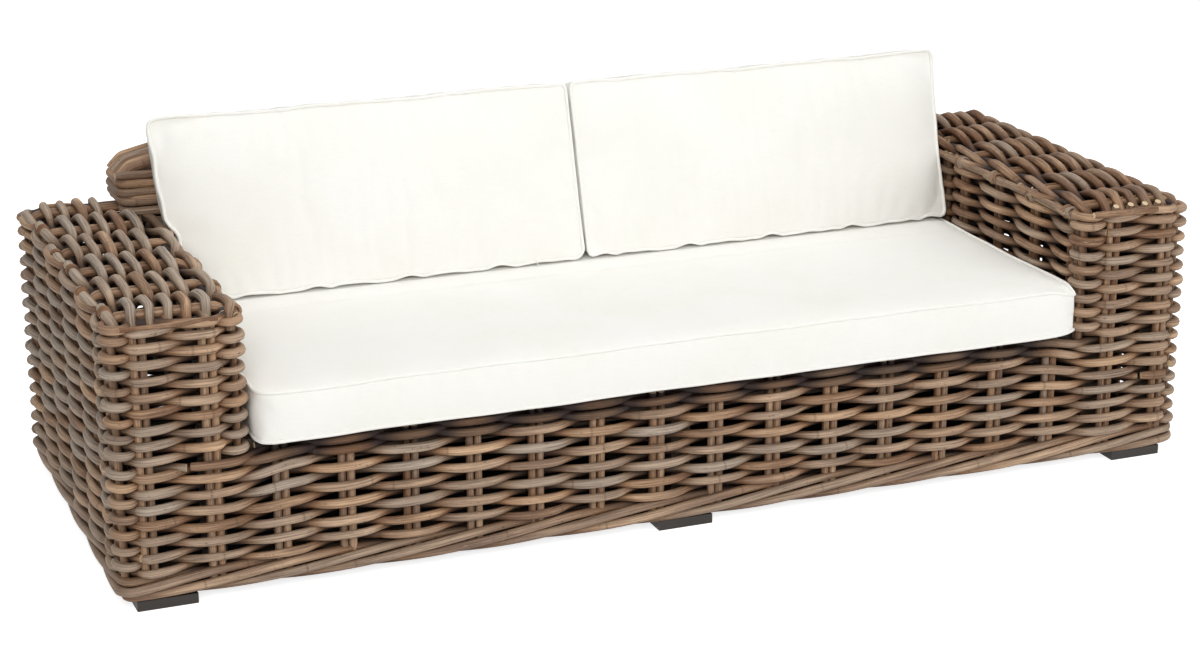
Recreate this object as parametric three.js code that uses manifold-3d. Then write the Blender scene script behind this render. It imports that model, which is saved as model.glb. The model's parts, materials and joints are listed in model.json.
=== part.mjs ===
// Rattan garden sofa: a timber frame in hollow walls of woven rattan, six flat feet and three loose cushions.
// Millimetres. +Z is up, the front faces -Y, and the origin is on the floor under the middle of the sofa.
// Left and right are as seen from the front.

import * as THREE from "three";
import { mergeVertices } from "three/addons/utils/BufferGeometryUtils.js";
import Module from "manifold-3d";

// Driving sizes
const sofaWidth = 2300;
const sofaDepth = 906;
const armWidth = 271;
const armHeight = 582;
const deckHeight = 300; // top of the seat slats, and of the woven front under the cushion
const backAboveArms = 93; // how far the back's top edge stands above the arms
const backThickness = 234; // at the deck
const backLean = THREE.MathUtils.degToRad(14);
const footHeight = 20;
const seam = 0.3; // gap between neighbouring pieces

// Rattan
const weaverDiameter = 17;
const stakeDiameter = 15;
const skin = 2 * weaverDiameter + stakeDiameter; // a weaver, a stake and a weaver
const rowPitch = 32.9;
const columnPitch = 30;
const rowRelief = 14; // how far the groove between two rows lies behind their crests
const crossingDip = 8; // how far strands that cross lie behind one in front of a pair of stakes
const pairInset = 69; // from the sofa's side to the first pair of stakes of the front
const pairPitch = 127; // the nearest even spacing is used, here and along the sides
const sidePairInset = 75;
const sidePairPitch = 151;
const crestShare = 0.25; // share of a row from its groove to its crest
const innerCornerRadius = 2 * seam; // the timber's square corners stand clear of this small arc
const cornerRadius = skin + innerCornerRadius;
const armEdgeRadius = 35;
const cornerSteps = 3;

// Back
const backEndInset = 190; // from the sofa's side to the end of the back
const backEndRise = 20; // upright part of the back's end, above the arm
const shoulderRun = 260;
const backEdgeRadius = 30;
const shoulderSteps = 6;

// Timber
const railWidth = 40;
const railHeight = 45;
const armRailHeight = 40;
const slatThickness = 18;
const slatWidth = 140;
const slatCount = 6;
const backRailHeight = 36;

// Feet
const footLength = 116;
const footDepth = 90;
const footSideInset = 40;
const footSetback = 20;

// Cushions
const cushionClearance = 2; // beside the seat cushion, at each arm
const seatFrontInset = 2;
const seatBoxing = 104; // height of the seat cushion's side strip
const seatCrown = 8;
const seatCornerRadius = 35;
const backCushionRise = 367; // from the seat cushion's crown to the front top seam
const backCushionFall = 35; // how far the rear top seam lies below the front one
const backCushionFoot = 145; // thickness where it stands on the seat
const backCushionTop = 122; // thickness at its top seam
const backCushionGap = 6; // between the two back cushions
const backCushionFlare = 18; // how far an outer top corner stands out over the arm
const backCrown = 22;
const backCornerRadius = 40;
const sideDrawIn = 7; // how far a seam bows in between two corners
const boxingSwell = 3;
const coverThickness = 3;
const foamGap = 0.6;
const zipLengthShare = 0.6;
const zipWidth = 12;

// Levels and planes that several pieces share
const halfWidth = sofaWidth / 2;
const halfDepth = sofaDepth / 2;
const frontFace = -halfDepth;
const innerFront = frontFace + skin + seam; // inside of the front and rear walls
const innerRear = -innerFront;
const innerSide = halfWidth - skin - seam;
const armInner = halfWidth - armWidth;
const seatDepth = sofaDepth - backThickness; // from the sofa's front to the foot of the back, at the deck
const backHeight = armHeight + backAboveArms;
const cavityInner = armInner + skin + seam; // inside of the arm's inner wall
const weaveBottom = footHeight + seam;
const baseRailTop = weaveBottom + railHeight;
const seatRailTop = deckHeight - slatThickness - seam;
const seatRailBottom = seatRailTop - railHeight;
const armWallTop = armHeight - cornerRadius - seam;
const armRailTop = armHeight - skin - seam;
const armRailBottom = armRailTop - armRailHeight;
const backEnd = halfWidth - backEndInset;
const shoulderBase = armHeight + backEndRise;
const shoulderDrop = backHeight - shoulderBase;
const shoulderStart = backEnd - shoulderRun;
const backRailTop = backHeight - skin - seam;
const backRailBottom = backRailTop - backRailHeight;

// Middles of the pairs of stakes between two ends, evenly spread
function pairPlaces(low, high, inset, pitch) {
  const reach = high - low - 2 * inset;
  const bays = Math.round(reach / pitch);
  return Array.from({ length: bays + 1 }, (_, i) => low + inset + (reach * i) / bays);
}

const frontPairs = pairPlaces(-halfWidth, halfWidth, pairInset, pairPitch);
const sidePairs = pairPlaces(-halfDepth, halfDepth, sidePairInset, sidePairPitch);

// Front face of the leaning back at height z
const backFace = (z) => frontFace + seatDepth + (z - deckHeight) * Math.tan(backLean);

// Materials
const rattan = new THREE.MeshStandardMaterial({ color: 0x85705a, roughness: 0.75, metalness: 0 });
const timber = new THREE.MeshStandardMaterial({ color: 0x8a6a48, roughness: 0.7, metalness: 0 });
const darkWood = new THREE.MeshStandardMaterial({ color: 0x2c241d, roughness: 0.6, metalness: 0 });
const canvas = new THREE.MeshStandardMaterial({ color: 0xf1ecdf, roughness: 0.95, metalness: 0 });
const foam = new THREE.MeshStandardMaterial({ color: 0xe6dcae, roughness: 1, metalness: 0 });
const zipTape = new THREE.MeshStandardMaterial({ color: 0xd8d2c2, roughness: 0.8, metalness: 0 });

// Solids and meshes
const wasm = await Module();
wasm.setup();
const mergeTolerance = 1e-3;

function bareIndexed(geometry) {
  const bare = geometry.index ? geometry.toNonIndexed() : geometry.clone();
  bare.deleteAttribute("normal");
  bare.deleteAttribute("uv");
  return mergeVertices(bare, mergeTolerance);
}

function solidOf(geometry) {
  const merged = bareIndexed(geometry);
  const mesh = new wasm.Mesh({
    numProp: 3,
    vertProperties: merged.attributes.position.array,
    triVerts: new Uint32Array(merged.index.array),
  });
  return new wasm.Manifold(mesh);
}

function geometryOf(solid) {
  const mesh = solid.getMesh();
  const geometry = new THREE.BufferGeometry();
  geometry.setAttribute("position", new THREE.BufferAttribute(mesh.vertProperties, 3));
  geometry.setIndex(new THREE.BufferAttribute(mesh.triVerts, 1));
  geometry.computeVertexNormals();
  return geometry;
}

// The same surface with its faces pointing out
function facingOut(geometry) {
  const merged = bareIndexed(geometry);
  const { array } = merged.index;
  const point = (i) => new THREE.Vector3().fromBufferAttribute(merged.attributes.position, array[i]);
  let volume = 0;
  for (let i = 0; i < array.length; i += 3) {
    volume += point(i).dot(point(i + 1).cross(point(i + 2)));
  }
  if (volume < 0) array.reverse();
  merged.computeVertexNormals();
  return merged;
}

function addMesh(group, name, geometry, material) {
  const mesh = new THREE.Mesh(geometry, material);
  mesh.name = name;
  group.add(mesh);
  return mesh;
}

function addBox(group, name, material, [x0, x1], [y0, y1], [z0, z1]) {
  const mesh = addMesh(group, name, new THREE.BoxGeometry(x1 - x0, y1 - y0, z1 - z0), material);
  mesh.position.set((x0 + x1) / 2, (y0 + y1) / 2, (z0 + z1) / 2);
  return mesh;
}

// One geometry as a left mesh and its mirror image as the right one
function addPair(group, name, geometry, material) {
  addMesh(group, "left_" + name, geometry, material);
  addMesh(group, "right_" + name, geometry, material).scale.x = -1;
}

// A right-handed interval of x, or its mirror image for the left side
const mirrored = (sign, [x0, x1]) => (sign < 0 ? [-x1, -x0] : [x0, x1]);
const sides = [
  ["left", -1],
  ["right", 1],
];

// Extrudes an outline along one axis. Its points are [x, y] along z, [x, z] along y and [y, z] along x.
const axisPlanes = {
  x: { toPlane: ([y, z]) => new THREE.Vector2(y, z), turn: [0, 0, 1, 1, 0, 0, 0, 1, 0] },
  y: { toPlane: ([x, z]) => new THREE.Vector2(z, x), turn: [0, 1, 0, 0, 0, 1, 1, 0, 0] },
  z: { toPlane: ([x, y]) => new THREE.Vector2(x, y), turn: [1, 0, 0, 0, 1, 0, 0, 0, 1] },
};

function prism(outline, axis, [from, to]) {
  const { toPlane, turn } = axisPlanes[axis];
  const shape = new THREE.Shape(outline.map(toPlane));
  const geometry = new THREE.ExtrudeGeometry(shape, { depth: to - from, bevelEnabled: false });
  geometry.translate(0, 0, from);
  geometry.applyMatrix4(new THREE.Matrix4().setFromMatrix3(new THREE.Matrix3(...turn)));
  return geometry;
}

// A quarter or other arc of an ellipse as stations of a path: where the outer face is, and which way it faces
function arcStations([centreP, centreQ], [radiusP, radiusQ], fromTurn, toTurn, steps) {
  return Array.from({ length: steps + 1 }, (_, i) => {
    const turn = fromTurn + ((toTurn - fromTurn) * i) / steps;
    return { centreP, centreQ, radiusP, radiusQ, cos: Math.cos(turn), sin: Math.sin(turn) };
  });
}

// The same station moved along the path's plane
const movedStation = (station, moveP, moveQ) => ({
  ...station,
  centreP: station.centreP + moveP,
  centreQ: station.centreQ + moveQ,
});

// Stations of a straight stretch of weave: a crest over each pair of stakes and a dip between two pairs
function swells(start, [from, to], places, move) {
  const inside = places.filter((place) => place > from + seam && place < to - seam);
  return inside.flatMap((place, i) => {
    const crest = move(start, place - from);
    const dip = i ? [{ ...move(start, (inside[i - 1] + place) / 2 - from), dip: crossingDip }] : [];
    return [...dip, crest];
  });
}

const alongP = (station, distance) => movedStation(station, distance, 0);
const alongQ = (station, distance) => movedStation(station, 0, distance);

// Point of a station at a depth behind the outer face
const stationPoint = (station, depth) => [
  station.centreP + (station.radiusP - depth) * station.cos,
  station.centreQ + (station.radiusQ - depth) * station.sin,
];

// Carries an outline of [depth, across] points through the stations of a path and closes both ends
function sweep(outline, stations, place) {
  const positions = stations.flatMap((station) => {
    const dip = station.dip ?? 0;
    return outline.flatMap(([depth, across]) => place(stationPoint(station, Math.max(depth, dip)), across));
  });
  const count = outline.length;
  const indices = [];
  for (let s = 0; s + 1 < stations.length; s++) {
    for (let i = 0; i < count; i++) {
      const [a, b] = [s * count + i, s * count + ((i + 1) % count)];
      indices.push(a, b, b + count, a, b + count, a + count);
    }
  }
  const flat = outline.map(([depth, across]) => new THREE.Vector2(depth, across));
  const cap = THREE.ShapeUtils.triangulateShape(flat, []);
  const clockwise = THREE.ShapeUtils.isClockWise(flat);
  const lastRing = (stations.length - 1) * count;
  for (const [a, b, c] of cap) {
    const [p, q, r] = clockwise ? [a, b, c] : [c, b, a];
    indices.push(p, q, r, lastRing + r, lastRing + q, lastRing + p);
  }
  const geometry = new THREE.BufferGeometry();
  geometry.setAttribute("position", new THREE.Float32BufferAttribute(positions, 3));
  geometry.setIndex(indices);
  return facingOut(geometry);
}

// Woven walls
const inPlan = ([x, y], z) => [x, y, z];
const quarter = Math.PI / 2;

// The outer face of a woven wall: one rib for each row, as [depth, across] points
function rowFace(low, high, pitch) {
  const rows = Math.max(1, Math.round((high - low) / pitch));
  const step = (high - low) / rows;
  const points = [[rowRelief, low]];
  for (let row = 0; row < rows; row++) {
    const start = low + row * step;
    points.push([0, start + crestShare * step]);
    points.push([0, start + (1 - crestShare) * step]);
    points.push([rowRelief, start + step]);
  }
  return points;
}

const rowOutline = (low, high) => [...rowFace(low, high, rowPitch), [skin, high], [skin, low]];

// Outer wall of an arm, with the rounded corners of the sofa's front and rear
function sideWall() {
  const reach = halfWidth - cornerRadius;
  const end = halfDepth - cornerRadius;
  const radii = [cornerRadius, cornerRadius];
  const front = arcStations([-reach, -end], radii, 3 * quarter, 2 * quarter, cornerSteps);
  const rear = arcStations([-reach, end], radii, 2 * quarter, quarter, cornerSteps);
  const straight = swells(front[cornerSteps], [-end, end], sidePairs, alongQ);
  return sweep(rowOutline(weaveBottom, armWallTop), [...front, ...straight, ...rear], inPlan);
}

// A flat woven wall that faces the front or the rear. The front's swells over its stakes.
function flatWall([x0, x1], [low, high], face) {
  const facing = face < 0 ? -1 : 1;
  const first = { centreP: x0, centreQ: face, radiusP: 0, radiusQ: 0, cos: 0, sin: facing };
  const middle = face < 0 ? swells(first, [x0, x1], frontPairs, alongP) : [];
  return sweep(rowOutline(low, high), [first, ...middle, alongP(first, x1 - x0)], inPlan);
}

// Inner wall of the left arm, from the rounded front corner to the leaning face of the back
function innerWall() {
  const radii = [cornerRadius, cornerRadius];
  const centre = [-armInner - cornerRadius, frontFace + cornerRadius];
  const corner = arcStations(centre, radii, -quarter, 0, cornerSteps);
  const last = corner[corner.length - 1];
  const rearEnd = alongQ(last, sofaDepth - cornerRadius);
  const straight = swells(last, [frontFace + cornerRadius, halfDepth], sidePairs, alongQ);
  const outline = rowOutline(deckHeight + seam, armWallTop);
  const whole = solidOf(sweep(outline, [...corner, ...straight, rearEnd], inPlan));
  const behind = [
    [backFace(0) - seam, 0],
    [sofaDepth, 0],
    [sofaDepth, sofaDepth],
    [backFace(sofaDepth) - seam, sofaDepth],
  ];
  const cut = solidOf(prism(behind, "x", [-halfWidth, 0]));
  return geometryOf(whole.subtract(cut));
}

// Woven top of the left arm: columns from front to rear, bent down over the front edge
function armTop() {
  const [low, high] = [-halfWidth, -armInner];
  const bend = (centre, from) =>
    arcStations([centre, armEdgeRadius], [armEdgeRadius, armEdgeRadius], from, from + quarter, cornerSteps);
  const outerEdge = bend(low + armEdgeRadius, 2 * quarter).map((s) => stationPoint(s, 0).reverse());
  const innerEdge = bend(high - armEdgeRadius, 3 * quarter).map((s) => stationPoint(s, 0).reverse());
  const columns = rowFace(low + armEdgeRadius, high - armEdgeRadius, columnPitch).slice(1, -1);
  const outline = [
    [skin, low],
    ...outerEdge.slice(0, -1),
    ...columns,
    ...innerEdge.slice(1),
    [skin, high],
  ];
  const radii = [cornerRadius, cornerRadius];
  const centre = [frontFace + cornerRadius, armHeight - cornerRadius];
  const bendDown = arcStations(centre, radii, 2 * quarter, quarter, cornerSteps);
  const last = bendDown[cornerSteps];
  const rearEnd = alongP(last, sofaDepth - cornerRadius);
  const straight = swells(last, [frontFace + cornerRadius, halfDepth], sidePairs, alongP);
  const whole = solidOf(sweep(outline, [...bendDown, ...straight, rearEnd], ([y, z], x) => [x, y, z]));
  const rearCentre = [low + cornerRadius, halfDepth - cornerRadius];
  const rearCorner = arcStations(rearCentre, radii, quarter, 2 * quarter, cornerSteps);
  const rounded = rearCorner.map((station) => stationPoint(station, 0));
  const plan = [[high, halfDepth], ...rounded, [low, frontFace], [high, frontFace]];
  return geometryOf(whole.intersect(solidOf(prism(plan, "z", [0, armHeight + skin]))));
}

// Outline of the back in front view, above the arms and at an inset from its outer face
function upperBack(inset) {
  const radii = [shoulderRun, shoulderDrop];
  const right = arcStations([shoulderStart, shoulderBase], radii, 0, quarter, shoulderSteps);
  const shoulder = right.map((s) => stationPoint(s, inset));
  const foot = [backEnd - inset, armHeight + seam];
  const half = [foot, ...shoulder];
  return [...half, ...half.map(([x, z]) => [-x, z]).reverse()];
}

// A woven wall of the back, cut to its shoulders and to the arms it stands between
function backWall(wall, lowerOutline) {
  const outline = [...upperBack(skin + seam), ...lowerOutline];
  const cut = solidOf(prism(outline, "y", [-sofaDepth, sofaDepth]));
  return geometryOf(solidOf(wall).intersect(cut));
}

// The four corners where the back's wall passes between the two arms
const betweenArms = (bottom) => [
  [-armInner + seam, armHeight + seam],
  [-armInner + seam, bottom],
  [armInner - seam, bottom],
  [armInner - seam, armHeight + seam],
];

function rearWall() {
  const side = halfWidth - cornerRadius - seam;
  const lower = betweenArms(armWallTop);
  lower.splice(2, 0, [-side, armWallTop], [-side, weaveBottom], [side, weaveBottom], [side, armWallTop]);
  return backWall(flatWall([-side, side], [weaveBottom, backHeight], halfDepth), lower);
}

function backFrontWall() {
  const low = deckHeight + seam;
  const outline = rowOutline(low, backHeight);
  const first = { centreP: -backEnd, centreQ: 0, radiusP: 0, radiusQ: 0, cos: 0, sin: -1 };
  const leaning = ([x, depth], z) => [x, backFace(z) + depth, z];
  return backWall(sweep(outline, [first, alongP(first, 2 * backEnd)], leaning), betweenArms(low));
}

// The band of weave that closes the back's ends, shoulders and top
function backBand() {
  const radii = [shoulderRun, shoulderDrop];
  const right = arcStations([shoulderStart, shoulderBase], radii, 0, quarter, shoulderSteps);
  const left = arcStations([-shoulderStart, shoulderBase], radii, quarter, 2 * quarter, shoulderSteps);
  const drop = armHeight + seam - shoulderBase;
  const stations = [
    movedStation(right[0], 0, drop),
    ...right,
    ...swells(left[0], [-shoulderStart, shoulderStart], frontPairs, alongP).reverse(),
    ...left,
    movedStation(left[shoulderSteps], 0, drop),
  ];
  const thickness = halfDepth - backFace(backHeight);
  const edgeRadii = [backEdgeRadius, backEdgeRadius];
  const bend = (centre, from) =>
    arcStations([centre, backEdgeRadius], edgeRadii, from, from + quarter, cornerSteps);
  const frontEdge = bend(backEdgeRadius, 2 * quarter).map((s) => stationPoint(s, 0).reverse());
  const rearEdge = bend(thickness - backEdgeRadius, 3 * quarter).map((s) => stationPoint(s, 0).reverse());
  const columns = rowFace(backEdgeRadius, thickness - backEdgeRadius, columnPitch).slice(1, -1);
  const outline = [[skin, 0], ...frontEdge.slice(0, -1), ...columns, ...rearEdge.slice(1), [skin, thickness]];
  const place = ([x, z], across) => {
    const face = backFace(z);
    return [x, face + (across / thickness) * (halfDepth - face), z];
  };
  return sweep(outline, stations, place);
}

function addWeave(group) {
  addPair(group, "side_weave", sideWall(), rattan);
  addPair(group, "arm_inner_weave", innerWall(), rattan);
  addPair(group, "arm_top_weave", armTop(), rattan);
  const sideEnd = halfWidth - cornerRadius - seam;
  const innerEnd = armInner + cornerRadius + seam;
  const armFront = flatWall([-sideEnd, -innerEnd], [deckHeight + seam, armWallTop], frontFace);
  addPair(group, "arm_front_weave", armFront, rattan);
  addMesh(group, "front_weave", flatWall([-sideEnd, sideEnd], [weaveBottom, deckHeight], frontFace), rattan);
  addMesh(group, "rear_weave", rearWall(), rattan);
  addMesh(group, "back_front_weave", backFrontWall(), rattan);
  addMesh(group, "back_top_weave", backBand(), rattan);
}

// Timber frame
const frontBand = [innerFront, innerFront + railWidth]; // rails and posts just behind the front wall
const rearBand = [innerRear - railWidth, innerRear];
const outerBand = [innerSide - railWidth, innerSide];
const innerBand = [cavityInner, cavityInner + railWidth];
const baseLevel = [weaveBottom, baseRailTop];
const betweenBands = [frontBand[1] + seam, rearBand[0] - seam];

function addBaseFrame(group) {
  const full = [-innerSide, innerSide];
  addBox(group, "base_front_rail", timber, full, frontBand, baseLevel);
  addBox(group, "base_rear_rail", timber, full, rearBand, baseLevel);
  addBox(group, "base_centre_rail", timber, [-railWidth / 2, railWidth / 2], betweenBands, baseLevel);
  for (const [side, sign] of sides) {
    addBox(group, "base_" + side + "_rail", timber, mirrored(sign, outerBand), betweenBands, baseLevel);
  }
}

function addArmFrame(group) {
  const postLevel = [baseRailTop + seam, armRailBottom - seam];
  const railLevel = [armRailBottom, armRailTop];
  const corners = [
    ["front_outer", outerBand, frontBand],
    ["front_inner", innerBand, frontBand],
    ["rear_outer", outerBand, rearBand],
    ["rear_inner", innerBand, rearBand],
  ];
  for (const [side, sign] of sides) {
    for (const [place, across, along] of corners) {
      addBox(group, side + "_" + place + "_post", timber, mirrored(sign, across), along, postLevel);
    }
    const length = [innerFront, innerRear];
    addBox(group, side + "_arm_outer_rail", timber, mirrored(sign, outerBand), length, railLevel);
    addBox(group, side + "_arm_inner_rail", timber, mirrored(sign, innerBand), length, railLevel);
    const between = mirrored(sign, [innerBand[1] + seam, outerBand[0] - seam]);
    addBox(group, side + "_arm_front_crossrail", timber, between, frontBand, railLevel);
  }
}

function addSeatFrame(group) {
  const level = [seatRailBottom, seatRailTop];
  const frontSpan = [-cavityInner + seam, cavityInner - seam];
  addBox(group, "seat_front_rail", timber, frontSpan, frontBand, level);
  const rearSpan = [-innerBand[1], innerBand[1]];
  const beforeRear = [rearBand[0] - seam - railWidth, rearBand[0] - seam];
  addBox(group, "seat_rear_rail", timber, rearSpan, beforeRear, level);
  const middle = [-railWidth / 2, railWidth / 2];
  const underSeatRail = [baseRailTop + seam, seatRailBottom - seam];
  addBox(group, "seat_front_centre_post", timber, middle, frontBand, underSeatRail);
  const slatLevel = [seatRailTop + seam, deckHeight];
  const slatRun = [innerFront, beforeRear[1]];
  const pitch = (2 * cavityInner - 2 * seam - slatWidth) / (slatCount - 1);
  for (let i = 0; i < slatCount; i++) {
    const start = -cavityInner + seam + i * pitch;
    addBox(group, "seat_slat_" + (i + 1), timber, [start, start + slatWidth], slatRun, slatLevel);
  }
}

function addBackFrame(group) {
  const level = [baseRailTop + seam, backRailBottom - seam];
  const names = ["left", "centre", "right"];
  names.forEach((name, i) => {
    const middle = (i - 1) * shoulderStart;
    const across = [middle - railWidth / 2, middle + railWidth / 2];
    addBox(group, "back_" + name + "_post", timber, across, rearBand, level);
  });
  const wallBehind = backFace(backRailTop) + skin + seam;
  const span = [-shoulderStart, shoulderStart];
  addBox(group, "back_top_rail", timber, span, [wallBehind, innerRear], [backRailBottom, backRailTop]);
}

// Feet under the front and rear rails
function addFeet(group) {
  const sideFoot = halfWidth - footSideInset - footLength / 2;
  const places = [
    ["left", -sideFoot],
    ["centre", 0],
    ["right", sideFoot],
  ];
  const near = -frontFace - footSetback;
  for (const [side, middle] of places) {
    const across = [middle - footLength / 2, middle + footLength / 2];
    addBox(group, "front_" + side + "_foot", darkWood, across, [-near, -near + footDepth], [0, footHeight]);
    addBox(group, "rear_" + side + "_foot", darkWood, across, [near - footDepth, near], [0, footHeight]);
  }
}

// Cushions
const cushionCells = 8; // cells along a cushion's face between its corner strips
const shortCells = 4;
const cornerStripShare = 0.35; // share of a corner's radius from the edge to the middle line of its strip

// Grid lines from -half to half, closer together near the corners
function gridLines(half, radius, cells) {
  const inner = half - radius;
  const middle = Array.from({ length: cells + 1 }, (_, i) => -inner + (2 * inner * i) / cells);
  const strip = half - radius * cornerStripShare;
  return [-half, -strip, ...middle, strip, half];
}

// Brings the corner of a square grid onto the arc of a rounded corner
function roundedCorner(a, b, halfA, halfB, radius) {
  const outA = Math.abs(a) - (halfA - radius);
  const outB = Math.abs(b) - (halfB - radius);
  if (outA <= 0 || outB <= 0) return [a, b];
  const pull = Math.max(outA, outB) / Math.hypot(outA, outB);
  const towards = (out, half, value) => Math.sign(value) * (half - radius + out * pull);
  return [towards(outA, halfA, a), towards(outB, halfB, b)];
}

// A boxed cushion: rounded corners, seams that bow in between them, a swollen side strip and crowned faces
function cushionSurface(size, inset, place) {
  const [halfA, halfB, halfC] = [size.halfA, size.halfB, size.halfC].map((half) => half - inset);
  const radius = size.radius - inset;
  const lines = [
    gridLines(halfA, radius, cushionCells),
    gridLines(halfB, radius, shortCells),
    [-halfC, 0, halfC],
  ];
  const map = (gridA, gridB, c) => {
    const [shareA, shareB, shareC] = [gridA / halfA, gridB / halfB, c / halfC];
    const [a, b] = roundedCorner(gridA, gridB, halfA, halfB, radius);
    const swell = boxingSwell * (1 - shareC ** 2);
    const bow = swell - sideDrawIn;
    const bowA = bow * (1 - shareB ** 2);
    const bowB = size.flatFoot && shareB < 0 ? 0 : bow * (1 - shareA ** 2);
    const fallB = size.fullRear && shareB > 0 ? 1 : 1 - shareB ** 4;
    const crown = (shareC < 0 ? size.lowerCrown : size.upperCrown) * (1 - shareA ** 4) * fallB;
    const thick = c + Math.sign(c) * crown;
    return place(a + shareA * bowA, b + shareB * bowB, thick);
  };
  const points = [];
  for (let fixed = 0; fixed < 3; fixed++) {
    const [first, second] = [(fixed + 1) % 3, (fixed + 2) % 3];
    for (const end of [0, lines[fixed].length - 1]) {
      const at = (p, q) => {
        const grid = [];
        grid[fixed] = lines[fixed][end];
        grid[first] = lines[first][p];
        grid[second] = lines[second][q];
        return map(...grid);
      };
      for (let p = 0; p + 1 < lines[first].length; p++) {
        for (let q = 0; q + 1 < lines[second].length; q++) {
          const quad = [at(p, q), at(p + 1, q), at(p + 1, q + 1), at(p, q + 1)];
          if (end === 0) quad.reverse();
          points.push(quad[0], quad[1], quad[2], quad[0], quad[2], quad[3]);
        }
      }
    }
  }
  return facingOut(new THREE.BufferGeometry().setFromPoints(points));
}

// Cover, foam core and zip of one cushion. The slot is the box that the zip closes in the cover.
function addCushion(group, name, size, place, slot) {
  const outer = solidOf(cushionSurface(size, 0, place));
  const inner = solidOf(cushionSurface(size, coverThickness, place));
  const shell = outer.subtract(inner);
  const slotSolid = (shrink) => {
    const [width, depth, height] = slot.size.map((length) => length - 2 * shrink);
    const box = new THREE.BoxGeometry(width, depth, height);
    return solidOf(box.translate(...slot.centre));
  };
  addMesh(group, name + "_cover", geometryOf(shell.subtract(slotSolid(0))), canvas);
  addMesh(group, name + "_zip", geometryOf(shell.intersect(slotSolid(seam))), zipTape);
  addMesh(group, name + "_foam", cushionSurface(size, coverThickness + foamGap, place), foam);
}

const seatBottom = deckHeight + seam;
const seatFront = frontFace + seatFrontInset;
const seatMiddle = seatBottom + seatBoxing / 2;
const seatTop = seatBottom + seatBoxing + seatCrown;

function addSeatCushion(group) {
  const length = backFace(seatMiddle) - cushionClearance - seatFront;
  const size = {
    halfA: armInner - cushionClearance - boxingSwell,
    halfB: length / 2,
    halfC: seatBoxing / 2,
    radius: seatCornerRadius,
    upperCrown: seatCrown,
    lowerCrown: 0,
    fullRear: true, // the back cushions stand there
  };
  const place = (a, b, c) => {
    const z = seatMiddle + c;
    const lean = (backFace(z) - backFace(seatMiddle)) * (b / length + 1 / 2);
    return new THREE.Vector3(a, seatFront + length / 2 + b + lean, z);
  };
  const slotDepth = 2 * (coverThickness + sideDrawIn);
  const slot = {
    centre: [0, seatFront + length, seatMiddle],
    size: [2 * size.halfA * zipLengthShare, slotDepth, zipWidth],
  };
  addCushion(group, "seat_cushion", size, place, slot);
}

function addBackCushion(group, side, sign) {
  const reach = armInner - cushionClearance;
  const foot = seatTop + seam;
  const middleZ = foot + backCushionRise / 2;
  const size = {
    halfA: (reach - backCushionGap / 2) / 2 - boxingSwell,
    halfB: backCushionRise / 2,
    halfC: backCushionFoot / 2,
    radius: backCornerRadius,
    upperCrown: 0,
    lowerCrown: backCrown,
    flatFoot: true,
  };
  const middleX = (sign * (reach + backCushionGap / 2)) / 2;
  const flareStart = armHeight + seam;
  const place = (a, b, c) => {
    const rise = b / backCushionRise + 1 / 2;
    const depthShare = c / backCushionFoot + 1 / 2;
    const z = middleZ + b - rise * depthShare * backCushionFall;
    const thickness = backCushionFoot + (backCushionTop - backCushionFoot) * rise;
    const outward = Math.max(0, (sign * a) / size.halfA);
    const above = Math.max(0, (z - flareStart) / (foot + backCushionRise - flareStart));
    const flare = sign * backCushionFlare * outward * above;
    const y = backFace(z) - seam - thickness * (1 - depthShare);
    return new THREE.Vector3(middleX + a + flare, y, z);
  };
  const slotHeight = 2 * (coverThickness + sideDrawIn);
  const slot = {
    centre: [middleX, backFace(foot) - backCushionFoot / 2, foot],
    size: [2 * size.halfA * zipLengthShare, zipWidth, slotHeight],
  };
  addCushion(group, "back_cushion_" + side, size, place, slot);
}

// The whole sofa
const sofa = new THREE.Group();
const frameGroup = new THREE.Group();
const weaveGroup = new THREE.Group();
const footGroup = new THREE.Group();
const cushionGroup = new THREE.Group();
addBaseFrame(frameGroup);
addArmFrame(frameGroup);
addSeatFrame(frameGroup);
addBackFrame(frameGroup);
addWeave(weaveGroup);
addFeet(footGroup);
addSeatCushion(cushionGroup);
for (const [side, sign] of sides) addBackCushion(cushionGroup, side, sign);
sofa.add(frameGroup, weaveGroup, footGroup, cushionGroup);

export default sofa;
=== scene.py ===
"""Looks of the rattan garden sofa: woven strands, cushions, piping, zips, floor, light and camera.

Metres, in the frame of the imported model. Left and right are as seen from the front.
"""

import json
import math

import bpy
import numpy as np
from mathutils import Matrix, Vector

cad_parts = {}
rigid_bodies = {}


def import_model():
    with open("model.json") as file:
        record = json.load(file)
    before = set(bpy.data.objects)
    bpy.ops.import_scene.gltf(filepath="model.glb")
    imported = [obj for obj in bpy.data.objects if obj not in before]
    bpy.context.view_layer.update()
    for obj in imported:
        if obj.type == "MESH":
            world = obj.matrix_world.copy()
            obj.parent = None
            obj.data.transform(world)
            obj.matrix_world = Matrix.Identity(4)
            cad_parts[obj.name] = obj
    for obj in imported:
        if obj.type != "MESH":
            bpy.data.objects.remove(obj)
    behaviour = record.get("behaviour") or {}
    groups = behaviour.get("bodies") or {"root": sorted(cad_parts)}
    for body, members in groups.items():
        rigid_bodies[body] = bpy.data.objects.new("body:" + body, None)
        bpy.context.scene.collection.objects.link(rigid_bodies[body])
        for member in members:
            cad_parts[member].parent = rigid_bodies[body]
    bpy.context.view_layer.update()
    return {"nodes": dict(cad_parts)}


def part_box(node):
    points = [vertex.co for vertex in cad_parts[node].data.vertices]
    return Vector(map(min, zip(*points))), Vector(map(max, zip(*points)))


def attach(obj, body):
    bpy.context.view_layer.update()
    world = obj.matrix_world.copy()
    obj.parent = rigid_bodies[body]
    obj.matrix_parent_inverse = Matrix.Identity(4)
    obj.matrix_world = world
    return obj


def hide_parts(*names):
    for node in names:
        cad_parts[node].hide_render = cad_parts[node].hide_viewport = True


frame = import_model()
random = np.random.default_rng(11)

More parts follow.
